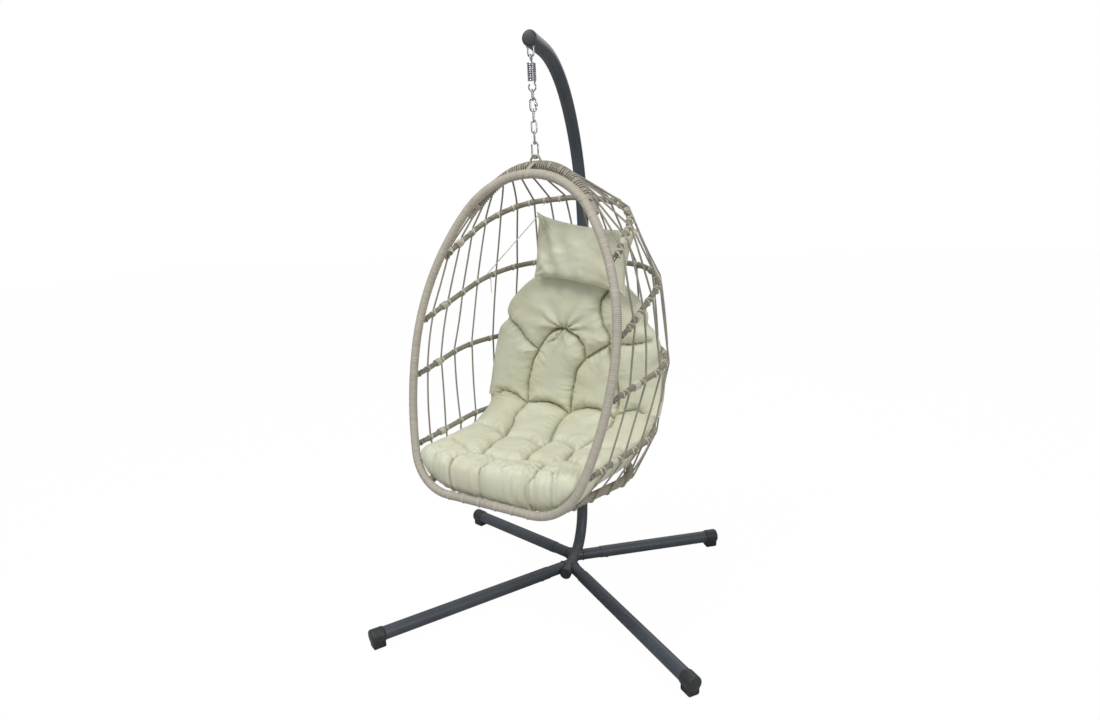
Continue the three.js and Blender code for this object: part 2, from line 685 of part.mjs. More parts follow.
function standGroup() {
  const group = new THREE.Group();
  group.add(named('lower_post', lowerPost(), 'steel'));
  const front = vec(0, SPINE_FRONT_Y, LEG_AXIS_HEIGHT);
  group.add(named('spine_end_cap', tubeCap(front, vec(0, -1, 0), lowerBore), 'plastic'));
  LEGS.forEach((leg) => {
    const arm = new THREE.Group();
    arm.position.set(0, leg.crossing, LEG_AXIS_HEIGHT);
    arm.rotation.z = legFrame(leg).turn;
    arm.add(named(`leg_${leg.place}`, legTube(leg), 'steel'));
    arm.add(named(`foot_${leg.place}`, foot(leg), 'plastic'));
    arm.add(named(`leg_bolt_${leg.place}`, legBolt(), 'zinc'));
    group.add(arm);
  });
  group.add(named('upper_arm', upperArm(), 'steel'));
  group.add(named('post_bolt', postBolt(), 'zinc'));
  const line = toRoute(upperLine());
  const last = line.length - 1;
  const tipWay = line[last].clone().sub(line[last - 1]).normalize();
  group.add(named('arm_end_cap', tubeCap(line[last], tipWay, TUBE_DIAMETER - 2 * TUBE_WALL), 'plastic'));
  group.add(named('hanging_bail', bailSolid(0), 'steel'));
  return group;
}

// Suspension: heights of the wire centre-lines down the plumb line

const bailLow = armUnderside() - BAIL_DROP;
const over = (wireA, wireB) => (wireA + wireB) / 2 + SEAT_GAP;
const springTop = bailLow + over(BAIL_WIRE, SPRING_WIRE);
const coilTop = springTop - 2 * SPRING_TOP_HOOK_RADIUS - SPRING_HOOK_NECK;
const coilLow = coilTop - SPRING_PITCH * SPRING_TURNS;
const springLow = coilLow - SPRING_HOOK_NECK - 2 * SPRING_LOW_HOOK_RADIUS;
const hookLinkTop = springLow + over(SPRING_WIRE, CHAIN_WIRE);
const hookLinkLow = hookLinkTop - HOOK_LINK_LENGTH;
const quickTop = hookLinkLow + over(CHAIN_WIRE, QUICK_LINK_WIRE);
const quickLow = quickTop - QUICK_LINK_LENGTH;
const upperLinkTop = quickLow + over(QUICK_LINK_WIRE, CHAIN_WIRE);
const upperLinkLow = upperLinkTop - CHAIN_LENGTH;
const middleLinkTop = upperLinkLow + over(CHAIN_WIRE, CHAIN_WIRE);
const middleLinkLow = middleLinkTop - CHAIN_LENGTH;
const lowerLinkTop = middleLinkLow + over(CHAIN_WIRE, CHAIN_WIRE);
const lowerLinkLow = lowerLinkTop - CHAIN_LENGTH;
const carabinerTop = lowerLinkLow + over(CHAIN_WIRE, CARABINER_WIRE);
const carabinerLow = carabinerTop - CARABINER_LENGTH;
const ringSeat = carabinerLow + over(CARABINER_WIRE, RING_WIRE) + RING_SLACK;

// Extension spring in one wire: a closed top hook in the plane X = 0, the coil, and an open low
// hook in the plane Y = 0

function springRoute() {
  const points = [];
  const coilRadius = SPRING_DIAMETER / 2;
  const topCentre = springTop - SPRING_TOP_HOOK_RADIUS;
  for (let i = 0; i <= SPRING_HOOK_STEPS; i += 1) {
    const angle = (SPRING_TOP_HOOK_START + (SPRING_TOP_HOOK_TURN * i) / SPRING_HOOK_STEPS) * DEGREE;
    points.push(vec(
      0, -SPRING_TOP_HOOK_RADIUS * Math.cos(angle), topCentre + SPRING_TOP_HOOK_RADIUS * Math.sin(angle),
    ));
  }
  const curls = Math.round(SPRING_TURNS * CURL_STEPS);
  for (let i = 0; i <= curls; i += 1) {
    const turn = (i / CURL_STEPS) * 2 * Math.PI + Math.PI / 2;
    points.push(vec(
      coilRadius * Math.cos(turn), coilRadius * Math.sin(turn), coilTop - (SPRING_PITCH * i) / CURL_STEPS,
    ));
  }
  const lowCentre = springLow + SPRING_LOW_HOOK_RADIUS;
  for (let i = 0; i <= SPRING_HOOK_STEPS; i += 1) {
    const angle = (SPRING_LOW_HOOK_START + (SPRING_LOW_HOOK_TURN * i) / SPRING_HOOK_STEPS) * DEGREE;
    points.push(vec(
      SPRING_LOW_HOOK_RADIUS * Math.cos(angle), 0, lowCentre + SPRING_LOW_HOOK_RADIUS * Math.sin(angle),
    ));
  }
  return points;
}

// Least distance between two stretches of one wire that aren't neighbours along it, less its size

function leastGap(points, diameter) {
  let least = Infinity;
  const dense = [];
  for (let i = 0; i < points.length - 1; i += 1) {
    for (let k = 0; k < GAP_CHECK_PARTS; k += 1) {
      dense.push(points[i].clone().lerp(points[i + 1], k / GAP_CHECK_PARTS));
    }
  }
  for (let i = 0; i < dense.length; i += 1) {
    for (let k = i + GAP_CHECK_SKIP * GAP_CHECK_PARTS; k < dense.length; k += 1) {
      least = Math.min(least, dense[i].distanceTo(dense[k]));
    }
  }
  return least - diameter;
}

// A flat link: two half rounds and two straight sides, hanging from its top centre-line

function linkPoints(length, width, top) {
  const radius = width / 2;
  const points = [];
  const centres = [top - radius, top - length + radius];
  centres.forEach((centre, half) => {
    for (let i = 0; i <= LINK_STEPS; i += 1) {
      const angle = Math.PI * half + (Math.PI * i) / LINK_STEPS;
      points.push(vec(radius * Math.cos(angle), 0, centre + radius * Math.sin(angle)));
    }
  });
  return points;
}

function turnedAbout(points, degrees) {
  return points.map((point) => point.applyAxisAngle(UP, degrees * DEGREE));
}

function chainLink(length, top, degrees) {
  const side = vec(0, 1, 0).applyAxisAngle(UP, degrees * DEGREE);
  return tube(turnedAbout(linkPoints(length, CHAIN_WIDTH, top), degrees), CHAIN_WIRE, LINK_SIDES, side, true);
}

// A link that is open in its +X side between two heights

function openLink(length, width, top, wire, gapTop, gapLow, degrees) {
  const side = vec(0, 1, 0).applyAxisAngle(UP, degrees * DEGREE);
  const loop = linkPoints(length, width, top);
  const route = [vec(width / 2, 0, gapTop), ...loop, vec(width / 2, 0, gapLow)];
  return tube(turnedAbout(route, degrees), wire, LINK_SIDES, side);
}

const quickMiddle = (quickTop + quickLow) / 2;
const gateMiddle = carabinerLow + CARABINER_WIDTH / 2 + 2 * SEAT_GAP + GATE_LENGTH / 2;

function screwSleeve() {
  const inner = (QUICK_LINK_WIRE / 2 + SLIP_GAP) / Math.cos(Math.PI / LINK_SIDES);
  const outer = SLEEVE_DIAMETER / 2;
  const half = SLEEVE_LENGTH / 2;
  const base = vec(QUICK_LINK_WIDTH / 2, 0, quickMiddle);
  const body = toSolid(turned([[0, -half], [outer, -half], [outer, half], [0, half]], base, UP, HEX_SIDES));
  const cut = half + CUT_OVERRUN;
  const bore = toSolid(turned([[0, -cut], [inner, -cut], [inner, cut], [0, cut]], base, UP, LINK_SIDES));
  const geometry = toGeometry(body.subtract(bore));
  geometry.rotateZ(QUICK_LINK_TURN * DEGREE);
  return geometry;
}

function carabinerGate() {
  const radius = GATE_WIRE / 2;
  const endCentre = GATE_LENGTH / 2 - radius;
  const lowEnd = [];
  for (let i = 0; i <= GATE_END_STEPS; i += 1) {
    const angle = (i / GATE_END_STEPS) * (Math.PI / 2);
    lowEnd.push([radius * Math.sin(angle), -endCentre - radius * Math.cos(angle)]);
  }
  const highEnd = lowEnd.map(([reach, height]) => [reach, -height]).reverse();
  const middle = vec(CARABINER_WIDTH / 2, 0, gateMiddle);
  const geometry = turned([...lowEnd, ...highEnd], middle, UP, LINK_SIDES);
  geometry.rotateZ(CARABINER_TURN * DEGREE);
  return geometry;
}

function suspensionGroup() {
  const group = new THREE.Group();
  group.position.set(0, HANG_Y, 0);
  const wire = springRoute();
  console.log(`least gap of the spring wire to itself ${leastGap(wire, SPRING_WIRE).toFixed(2)} mm`);
  group.add(named('tension_spring', tube(wire, SPRING_WIRE, SPRING_WIRE_SIDES), 'zinc'));
  group.add(named('hook_link', chainLink(HOOK_LINK_LENGTH, hookLinkTop, HOOK_LINK_TURN), 'zinc'));
  group.add(named('quick_link', openLink(
    QUICK_LINK_LENGTH, QUICK_LINK_WIDTH, quickTop, QUICK_LINK_WIRE,
    quickMiddle + QUICK_LINK_GAP, quickMiddle, QUICK_LINK_TURN,
  ), 'zinc'));
  group.add(named('quick_link_nut', screwSleeve(), 'zinc'));
  group.add(named('chain_link_upper', chainLink(CHAIN_LENGTH, upperLinkTop, CHAIN_UPPER_TURN), 'zinc'));
  group.add(named('chain_link_middle', chainLink(CHAIN_LENGTH, middleLinkTop, CHAIN_MIDDLE_TURN), 'zinc'));
  group.add(named('chain_link_lower', chainLink(CHAIN_LENGTH, lowerLinkTop, CHAIN_LOWER_TURN), 'zinc'));
  group.add(named('carabiner', openLink(
    CARABINER_LENGTH, CARABINER_WIDTH, carabinerTop, CARABINER_WIRE,
    gateMiddle + GATE_LENGTH / 2 + SEAT_GAP, gateMiddle - GATE_LENGTH / 2 - SEAT_GAP, CARABINER_TURN,
  ), 'zinc'));
  group.add(named('carabiner_gate', carabinerGate(), 'zinc'));
  return group;
}

// Basket: everything below is placed from the ring's seat, before the basket's turn

const hoopLean = HOOP_LEAN * DEGREE;
const hoopRadius = HOOP_TUBE / 2;

// A place from its offset across, its drop down the hoop's plane and its setback behind it

function onHoopPlane(across, drop, setback) {
  return vec(
    across,
    -HOOP_TOP_FORWARD - drop * Math.sin(hoopLean) + setback * Math.cos(hoopLean),
    -HOOP_TOP_DROP - drop * Math.cos(hoopLean) - setback * Math.sin(hoopLean),
  );
}

function flatArc(centre, radius, from, to, steps) {
  const points = [];
  for (let i = 1; i <= steps; i += 1) {
    const angle = from + ((to - from) * i) / steps;
    points.push([centre[0] + radius * Math.sin(angle), centre[1] - radius * Math.cos(angle)]);
  }
  return points;
}

// Right half of the hoop's outline as [across, drop], four tangent arcs from its top to its base

function hoopHalf() {
  const halfWidth = HOOP_WIDTH / 2;
  const fall = HOOP_WIDEST_DROP - HOOP_TOP_RADIUS;
  const squares = halfWidth ** 2 + fall ** 2 - HOOP_TOP_RADIUS ** 2;
  const sideRadius = squares / (2 * (halfWidth - HOOP_TOP_RADIUS));
  const sideCentre = [halfWidth - sideRadius, HOOP_WIDEST_DROP];
  const lowCentre = [halfWidth - HOOP_LOW_SIDE_RADIUS, HOOP_WIDEST_DROP];
  const cornerReach = HOOP_LOW_SIDE_RADIUS - HOOP_CORNER_RADIUS;
  const cornerFall = HOOP_HEIGHT - HOOP_CORNER_RADIUS - HOOP_WIDEST_DROP;
  const cornerCentre = [
    lowCentre[0] + Math.sqrt(cornerReach ** 2 - cornerFall ** 2), HOOP_HEIGHT - HOOP_CORNER_RADIUS,
  ];
  const topEnd = Math.atan2(-sideCentre[0], fall);
  const lowEnd = Math.PI / 2 + Math.asin(cornerFall / cornerReach);
  const tight = (turn) => Math.ceil(turn / (HOOP_STEP * DEGREE));
  return [
    [0, 0],
    ...flatArc([0, HOOP_TOP_RADIUS], HOOP_TOP_RADIUS, 0, topEnd, tight(topEnd)),
    ...flatArc(sideCentre, sideRadius, topEnd, Math.PI / 2, HOOP_SIDE_STEPS),
    ...flatArc(lowCentre, HOOP_LOW_SIDE_RADIUS, Math.PI / 2, lowEnd, HOOP_SIDE_STEPS),
    ...flatArc(cornerCentre, HOOP_CORNER_RADIUS, lowEnd, Math.PI, tight(Math.PI - lowEnd)),
    [0, HOOP_HEIGHT],
  ];
}

function hoopHalfWidthAt(drop) {
  const half = hoopHalf();
  const after = half.findIndex((point) => point[1] >= drop);
  const [a, b] = [half[after - 1], half[after]];
  return a[0] + ((b[0] - a[0]) * (drop - a[1])) / (b[1] - a[1]);
}

function hoopRoute() {
  const half = hoopHalf();
  const left = half.slice(1, -1).reverse().map(([across, drop]) => [-across, drop]);
  return [...half, ...left].map(([across, drop]) => onHoopPlane(across, drop, 0));
}

function lugSolid(side, rib) {
  const across = side * hoopHalfWidthAt(rib.drop);
  const shape = new THREE.Shape();
  const half = LUG_HEIGHT / 2;
  shape.moveTo(hoopRadius / 2, -half);
  shape.lineTo(RIB_PIVOT_SETBACK, -half);
  shape.absarc(RIB_PIVOT_SETBACK, 0, half, -Math.PI / 2, Math.PI / 2, false);
  shape.lineTo(hoopRadius / 2, half);
  shape.closePath();
  const geometry = new THREE.ExtrudeGeometry(shape, {
    depth: LUG_THICKNESS, bevelEnabled: false, curveSegments: LUG_ROUND_STEPS,
  });
  geometry.translate(0, 0, -LUG_THICKNESS / 2);
  const middle = onHoopPlane(across, rib.drop, 0);
  const away = vec(0, Math.cos(hoopLean), -Math.sin(hoopLean));
  const upward = vec(0, Math.sin(hoopLean), Math.cos(hoopLean));
  const turn = new THREE.Matrix4().makeBasis(away, upward, new THREE.Vector3().crossVectors(away, upward));
  turn.setPosition(middle);
  geometry.applyMatrix4(turn);
  return toSolid(geometry);
}

function ribDrill(side, rib) {
  const place = onHoopPlane(side * (hoopHalfWidthAt(rib.drop) - RIB_BOLT_HEAD), rib.drop, RIB_PIVOT_SETBACK);
  const radius = RIB_BOLT_DIAMETER / 2 + SEAT_GAP;
  return toSolid(turned([
    [0, 0], [radius, 0], [radius, RIB_DRILL_LENGTH], [0, RIB_DRILL_LENGTH],
  ], place, vec(side, 0, 0), BOLT_SIDES));
}

function hoop() {
  let body = toSolid(tube(hoopRoute(), HOOP_TUBE, WRAPPED_SIDES, BACK, true));
  [-1, 1].forEach((side) => {
    RIBS.forEach((rib) => {
      body = body.add(lugSolid(side, rib)).subtract(ribDrill(side, rib));
    });
  });
  return toGeometry(body);
}

// Arch behind the top of the hoop, its ends lying against the back of the hoop

function archRoute() {
  const end = onHoopPlane(0, archEndDrop(), (HOOP_TUBE + ARCH_TUBE) / 2 + SEAT_GAP);
  const points = [];
  for (let i = 0; i <= ARCH_STEPS; i += 1) {
    const share = 1 - (2 * i) / ARCH_STEPS;
    const rise = 1 - Math.abs(share) ** ARCH_POWER;
    points.push(vec(
      share * ARCH_HALF_SPAN, end.y + (ARCH_BACK - end.y) * rise, end.z + (-ARCH_DROP - end.z) * rise,
    ));
  }
  return points;
}

function archEndDrop() {
  const half = hoopHalf();
  const after = half.findIndex((point) => point[0] >= ARCH_HALF_SPAN);
  const [a, b] = [half[after - 1], half[after]];
  return a[1] + ((b[1] - a[1]) * (ARCH_HALF_SPAN - a[0])) / (b[0] - a[0]);
}

function arch(extra) {
  return tube(archRoute(), ARCH_TUBE + extra, WRAPPED_SIDES, BACK);
}

function ring() {
  const points = [vec(RING_RADIUS, 0, -ARCH_DROP)];
  for (let i = 0; i <= RING_STEPS; i += 1) {
    const angle = (Math.PI * i) / RING_STEPS;
    points.push(vec(RING_RADIUS * Math.cos(angle), 0, -RING_RADIUS + RING_RADIUS * Math.sin(angle)));
  }
  points.push(vec(-RING_RADIUS, 0, -ARCH_DROP));
  const body = toSolid(tube(points, RING_WIRE, LINK_SIDES, BACK));
  return toGeometry(body.subtract(toSolid(arch(2 * SEAT_GAP))));
}

// A rib's route in its own plane as [across, back], right half: a flat end, a straight run, a
// rear corner and a crowned rear run

function ribHalf(rib, across, flatEnd) {
  const points = flatEnd
    ? [[across, -RIB_TAB_END], [across, RIB_TAB_LENGTH], [across, RIB_TAB_LENGTH + RIB_TAB_BLEND]]
    : [[across, 0]];
  const start = new THREE.Vector2(...points[points.length - 1]);
  const corner = new THREE.Vector2(rib.corner, rib.depth);
  const middle = new THREE.Vector2(0, rib.depth + rib.crown);
  const toStart = start.clone().sub(corner);
  const toMiddle = middle.clone().sub(corner);
  const opening = Math.abs(toStart.angleTo(toMiddle));
  const reach = rib.bend / Math.tan(opening / 2);
  const from = corner.clone().addScaledVector(toStart.clone().normalize(), reach);
  const to = corner.clone().addScaledVector(toMiddle.clone().normalize(), reach);
  const centre = corner.clone().addScaledVector(
    toStart.normalize().add(toMiddle.normalize()).normalize(), rib.bend / Math.sin(opening / 2),
  );
  const fromAngle = from.clone().sub(centre).angle();
  let sweepAngle = to.clone().sub(centre).angle() - fromAngle;
  if (sweepAngle > Math.PI) sweepAngle -= 2 * Math.PI;
  if (sweepAngle < -Math.PI) sweepAngle += 2 * Math.PI;
  points.push([(start.x + from.x) / 2, (start.y + from.y) / 2]);
  for (let i = 0; i <= RIB_CORNER_STEPS; i += 1) {
    const angle = fromAngle + (sweepAngle * i) / RIB_CORNER_STEPS;
    points.push([centre.x + rib.bend * Math.cos(angle), centre.y + rib.bend * Math.sin(angle)]);
  }
  points.push([middle.x, middle.y]);
  return points;
}

function ribRoute(rib, across, setback, flatEnd) {
  const right = ribHalf(rib, across, flatEnd);
  const left = right.slice(0, -1).reverse().map(([x, back]) => [-x, back]);
  const start = onHoopPlane(0, rib.drop, setback);
  const rise = rib.tilt * DEGREE;
  return [...right, ...left].map(([x, back]) => vec(
    x, start.y + back * Math.cos(rise), start.z + back * Math.sin(rise),
  ));
}

function tabbedRibRoute(rib) {
  const across = hoopHalfWidthAt(rib.drop) + LUG_THICKNESS / 2 + SEAT_GAP + RIB_TAB_THICKNESS / 2;
  return ribRoute(rib, across, RIB_PIVOT_SETBACK, true);
}

function baseRibRoute() {
  return ribRoute(BASE_RIB, hoopHalfWidthAt(BASE_RIB.drop), 0, false);
}

function tabbedRib(rib) {
  const route = tabbedRibRoute(rib);
  const flat = [RIB_TAB_THICKNESS / 2, RIB_TAB_HEIGHT / 2, RIB_TAB_ROUNDNESS];
  const full = [RIB_TUBE / 2, RIB_TUBE / 2, 1];
  const size = (i) => (Math.min(i, route.length - 1 - i) < 2 ? flat : full);
  let body = toSolid(sweep(route, size, RIB_SIDES, ACROSS));
  [-1, 1].forEach((side) => {
    body = body.subtract(ribDrill(side, rib));
  });
  return toGeometry(body);
}

function baseRib() {
  const body = toSolid(tube(baseRibRoute(), BASE_RIB_TUBE, RIB_SIDES));
  const cut = toSolid(tube(hoopRoute(), HOOP_TUBE + 2 * SEAT_GAP, WRAPPED_SIDES, BACK, true));
  return toGeometry(body.subtract(cut));
}

function ribBolt(side, rib) {
  const outside = hoopHalfWidthAt(rib.drop) + LUG_THICKNESS / 2 + RIB_TAB_THICKNESS + 2 * SEAT_GAP;
  const place = onHoopPlane(side * outside, rib.drop, RIB_PIVOT_SETBACK);
  const grip = LUG_THICKNESS + RIB_TAB_THICKNESS + 2 * SEAT_GAP;
  return boltWithNut(
    place, vec(-side, 0, 0), grip,
    RIB_BOLT_DIAMETER, RIB_BOLT_HEAD, RIB_BOLT_HEAD_HEIGHT, RIB_NUT_ACROSS, RIB_NUT_HEIGHT,
  );
}

// Woven cords. Each goes from a tied end on the arch down the outside of the ribs, turns back
// round the base rib or the hoop, and climbs again beside itself.

function placeAlong(route, length) {
  let left = length;
  for (let i = 1; i < route.length; i += 1) {
    const run = route[i].distanceTo(route[i - 1]);
    if (left <= run || i === route.length - 1) {
      const before = route[i - 1].clone().sub(route[Math.max(i - 2, 0)]);
      const here = route[i].clone().sub(route[i - 1]).normalize();
      const after = route[Math.min(i + 1, route.length - 1)].clone().sub(route[i]);
      if (before.lengthSq() === 0) before.copy(here);
      if (after.lengthSq() === 0) after.copy(here);
      const share = left / run;
      const first = before.normalize().add(here);
      const second = after.normalize().add(here);
      return {
        point: route[i - 1].clone().lerp(route[i], share),
        along: first.multiplyScalar(1 - share).addScaledVector(second, share).normalize(),
      };
    }
    left -= run;
  }
  return null;
}

function routeLength(route) {
  return route.slice(1).reduce((sum, point, i) => sum + point.distanceTo(route[i]), 0);
}

// The circle in which a cord goes round a tube: angles run from outward through down to inward

function crossing(route, length, radius, diameter, inside) {
  const { point, along } = placeAlong(route, length);
  const outward = point.clone().sub(inside);
  outward.z = 0;
  outward.addScaledVector(along, -outward.dot(along)).normalize();
  const down = new THREE.Vector3().crossVectors(along, outward);
  if (down.z > 0) down.negate();
  return { point, outward, down, radius: radius + diameter / 2 + CORD_SLACK };
}

function angleTo(circle, target) {
  const away = target.clone().sub(circle.point);
  return Math.atan2(away.dot(circle.down), away.dot(circle.outward));
}

function reachTo(circle, target) {
  const away = target.clone().sub(circle.point);
  return Math.hypot(away.dot(circle.down), away.dot(circle.outward));
}

function touchFrom(circle, target) {
  return angleTo(circle, target) + Math.acos(circle.radius / reachTo(circle, target));
}

function leaveTo(circle, target) {
  let angle = angleTo(circle, target);
  if (angle < 0 && target.z < circle.point.z) angle += 2 * Math.PI;
  return angle - Math.acos(circle.radius / reachTo(circle, target));
}

// Corners of the tangent polygon that goes round a circle from one angle to another

function goRound(circle, from, to) {
  const steps = Math.max(1, Math.ceil(Math.abs(to - from) / (CORD_BEND_STEP * DEGREE)));
  const step = (to - from) / steps;
  const radius = circle.radius / Math.cos(step / 2);
  const points = [];
  for (let i = 0; i < steps; i += 1) {
    const angle = from + step * (i + 1 / 2);
    points.push(circle.point.clone()
      .addScaledVector(circle.outward, radius * Math.cos(angle))
      .addScaledVector(circle.down, radius * Math.sin(angle)));
  }
  return points;
}

function strandRoute(index, forward) {
  const count = 2 * CORD_PAIRS;
  const share = CORD_END_SHARE + ((1 - 2 * CORD_END_SHARE) * index) / (count - 1);
  const fromMiddle = index - (count - 1) / 2;
  const pitches = Math.abs(fromMiddle) - 1 / 2;
  const archShift = Math.sign(fromMiddle) * (CORD_ARCH_FIRST + CORD_ARCH_PITCH * pitches);
  const inside = vec(0, 0, -HOOP_WIDEST_DROP);
  const archPath = archRoute();
  const archPlace = routeLength(archPath) / 2 + archShift;
  const circles = [crossing(archPath, archPlace, ARCH_TUBE / 2, CORD_DIAMETER, inside)];
  RIBS.forEach((rib) => {
    const path = tabbedRibRoute(rib);
    circles.push(crossing(path, routeLength(path) * share, RIB_TUBE / 2, CORD_DIAMETER, inside));
  });
  const basePath = baseRibRoute();
  const basePlace = routeLength(basePath) * share;
  const base = crossing(basePath, basePlace, BASE_RIB_TUBE / 2, CORD_DIAMETER, inside);
  circles.push(base);
  const first = circles[0];
  const points = goRound(first, CORD_HOOK_START * DEGREE, leaveTo(first, circles[1].point));
  for (let i = 1; i < circles.length - 1; i += 1) {
    const circle = circles[i];
    const from = touchFrom(circle, circles[i - 1].point);
    const to = leaveTo(circle, circles[i + 1].point);
    const middle = (from + to) / 2;
    points.push(...goRound(circle, Math.min(from, middle), Math.max(to, middle)));
  }
  const arrive = touchFrom(base, circles[circles.length - 2].point);
  if (!forward) {
    points.push(...goRound(base, arrive, CORD_RIB_END * DEGREE));
    return points;
  }
  const front = onHoopPlane(base.point.x * SEAT_CORD_FRONT_SHARE, HOOP_HEIGHT, 0);
  const hoopCircle = {
    point: front, outward: vec(0, -1, 0), down: vec(0, 0, -1),
    radius: hoopRadius + CORD_DIAMETER / 2 + CORD_SLACK,
  };
  points.push(...goRound(base, arrive, leaveTo(base, front)));
  points.push(...goRound(hoopCircle, touchUnder(hoopCircle, base.point), CORD_HOOP_END * DEGREE));
  return points;
}

function touchUnder(circle, target) {
  const away = angleTo(circle, target);
  const behind = away < 0 ? away + 2 * Math.PI : away;
  return behind - Math.acos(circle.radius / reachTo(circle, target));
}

function cord(pair) {
  const forward = SEAT_CORD_PAIRS.includes(pair);
  const down = strandRoute(2 * pair, forward);
  const up = strandRoute(2 * pair + 1, forward).reverse();
  return tube([...down, ...up], CORD_DIAMETER, CORD_SIDES);
}

// Soft forms: a sheet with a crown on both faces, drawn in at its tufts and creases. A table's
// values run in straight lines between its rows.

function readTable(table, at) {
  const after = table.findIndex(([x]) => x >= at);
  if (after === 0) return table[0][1];
  if (after < 0) return table[table.length - 1][1];
  const [a, b] = [table[after - 1], table[after]];
  return a[1] + ((b[1] - a[1]) * (at - a[0])) / (b[0] - a[0]);
}

function softSheet(columns, rows, place) {
  const positions = [];
  const indices = [];
  const top = [];
  const low = [];
  const add = (point) => {
    positions.push(point.x, point.y, point.z);
    return positions.length / 3 - 1;
  };
  for (let j = 0; j <= rows; j += 1) {
    top.push([]);
    low.push([]);
    for (let i = 0; i <= columns; i += 1) {
      const rim = i === 0 || j === 0 || i === columns || j === rows;
      const even = (2 * i) / columns - 1;
      const crowded = -Math.cos((Math.PI * i) / columns);
      const across = even + (crowded - even) * SHEET_EDGE_SHARE;
      const faces = place(across, j / rows, rim);
      top[j].push(add(faces[0]));
      low[j].push(rim ? top[j][i] : add(faces[1]));
    }
  }
  for (let j = 0; j < rows; j += 1) {
    for (let i = 0; i < columns; i += 1) {
      const cornerwise = (2 * i < columns) === (2 * j < rows);
      const [a, b, c, d] = [top[j][i], top[j][i + 1], top[j + 1][i + 1], top[j + 1][i]];
      const [e, f, g, h] = [low[j][i], low[j][i + 1], low[j + 1][i + 1], low[j + 1][i]];
      if (cornerwise) {
        indices.push(a, b, c, a, c, d, e, g, f, e, h, g);
      } else {
        indices.push(a, b, d, b, c, d, e, h, f, f, h, g);
      }
    }
  }
  return indexed(positions, indices);
}

// How much of the crown is left at a place, between its tufts and creases

function fullness(across, along) {
  let left = 1;
  TUFTS.forEach(([x, s], i) => {
    const squared = (across - x) ** 2 + (along - s) ** 2;
    left = Math.min(left, 1 - TUFT_DEPTH_SHARE * Math.exp(-squared / (2 * TUFT_SPREAD ** 2)));
    TUFTS.slice(i + 1).forEach(([x2, s2]) => {
      const [dx, ds] = [x2 - x, s2 - s];
      const length = Math.hypot(dx, ds);
      if (length > CREASE_REACH) return;
      const share = Math.min(1, Math.max(0, ((across - x) * dx + (along - s) * ds) / length ** 2));
      const off = (across - x - share * dx) ** 2 + (along - s - share * ds) ** 2;
      left = Math.min(left, 1 - CREASE_DEPTH_SHARE * Math.exp(-off / (2 * CREASE_SPREAD ** 2)));
    });
  });
  return left;
}

function cushion() {
  const curve = new THREE.CatmullRomCurve3(toRoute(CUSHION_ROUTE), false, 'centripetal');
  const length = curve.getLength();
  return softSheet(CUSHION_COLUMNS, CUSHION_ROWS, (across, share, rim) => {
    const along = share * length;
    const middle = curve.getPointAt(share);
    const way = curve.getTangentAt(share);
    const normal = vec(0, -way.z, way.y);
    const halfWidth = readTable(CUSHION_HALF_WIDTHS, along);
    const edge = Math.min(share, 1 - share) * length;
    const crown = Math.sqrt(Math.max(0, 1 - Math.abs(across) ** CUSHION_CROWN_POWER));
    const endCrown = Math.sqrt(Math.min(1, edge / CUSHION_FRONT_FACE));
    const half = rim ? 0 : (CUSHION_THICKNESS / 2) * crown * endCrown;
    const x = across * halfWidth;
    const lean = readTable(CUSHION_SIDE_RISES, along) * Math.abs(across) ** CUSHION_RISE_POWER;
    const base = middle.clone().addScaledVector(normal, lean);
    base.x = x;
    const fade = Math.max(0, 1 - along / CUSHION_BOW_RUN);
    const bow = CUSHION_FRONT_BOW * fade * Math.abs(across) ** CUSHION_CROWN_POWER;
    base.addScaledVector(way, bow);
    const face = half * fullness(x, along);
    return [base.clone().addScaledVector(normal, face), base.clone().addScaledVector(normal, -half)];
  });
}

function pillow() {
  return softSheet(PILLOW_COLUMNS, PILLOW_ROWS, (across, share, rim) => {
    const upright = 2 * share - 1;
    const crownAcross = 1 - Math.abs(across) ** PILLOW_CROWN_POWER;
    const crownUpright = 1 - Math.abs(upright) ** PILLOW_CROWN_POWER;
    const crown = Math.sqrt(Math.max(0, crownAcross * crownUpright));
    const half = rim ? 0 : (PILLOW_THICKNESS / 2) * crown;
    const x = (PILLOW_WIDTH / 2) * across * (1 - PILLOW_WAIST_SHARE * (1 - upright ** 2));
    const z = (PILLOW_HEIGHT / 2) * upright * (1 - PILLOW_WAIST_SHARE * (1 - across ** 2));
    return [vec(x, -half, z), vec(x, half, z)];
  });
}

function pillowTie(side) {
  const path = tabbedRibRoute(RIBS[1]);
  const share = side > 0 ? TIE_RIB_SHARE : 1 - TIE_RIB_SHARE;
  const inside = vec(0, 0, -HOOP_WIDEST_DROP);
  const circle = crossing(path, routeLength(path) * share, RIB_TUBE / 2, TIE_DIAMETER, inside);
  const corner = vec(side * (PILLOW_WIDTH + TIE_DIAMETER) / 2, 0, PILLOW_HEIGHT / 2);
  corner.applyEuler(pillowTurn()).add(pillowPlace());
  const arrive = touchFrom(circle, corner);
  const points = [corner, ...goRound(circle, arrive, arrive + TIE_WRAP * DEGREE)];
  const last = points[points.length - 1].clone();
  last.z -= TIE_TAIL;
  points.push(last);
  return tube(points, TIE_DIAMETER, CORD_SIDES, UP);
}

function pillowTurn() {
  return new THREE.Euler(-PILLOW_LEAN * DEGREE, PILLOW_ROLL * DEGREE, 0, 'XYZ');
}

function pillowPlace() {
  return vec(PILLOW_PLACE.x, PILLOW_PLACE.y, PILLOW_PLACE.z);
}

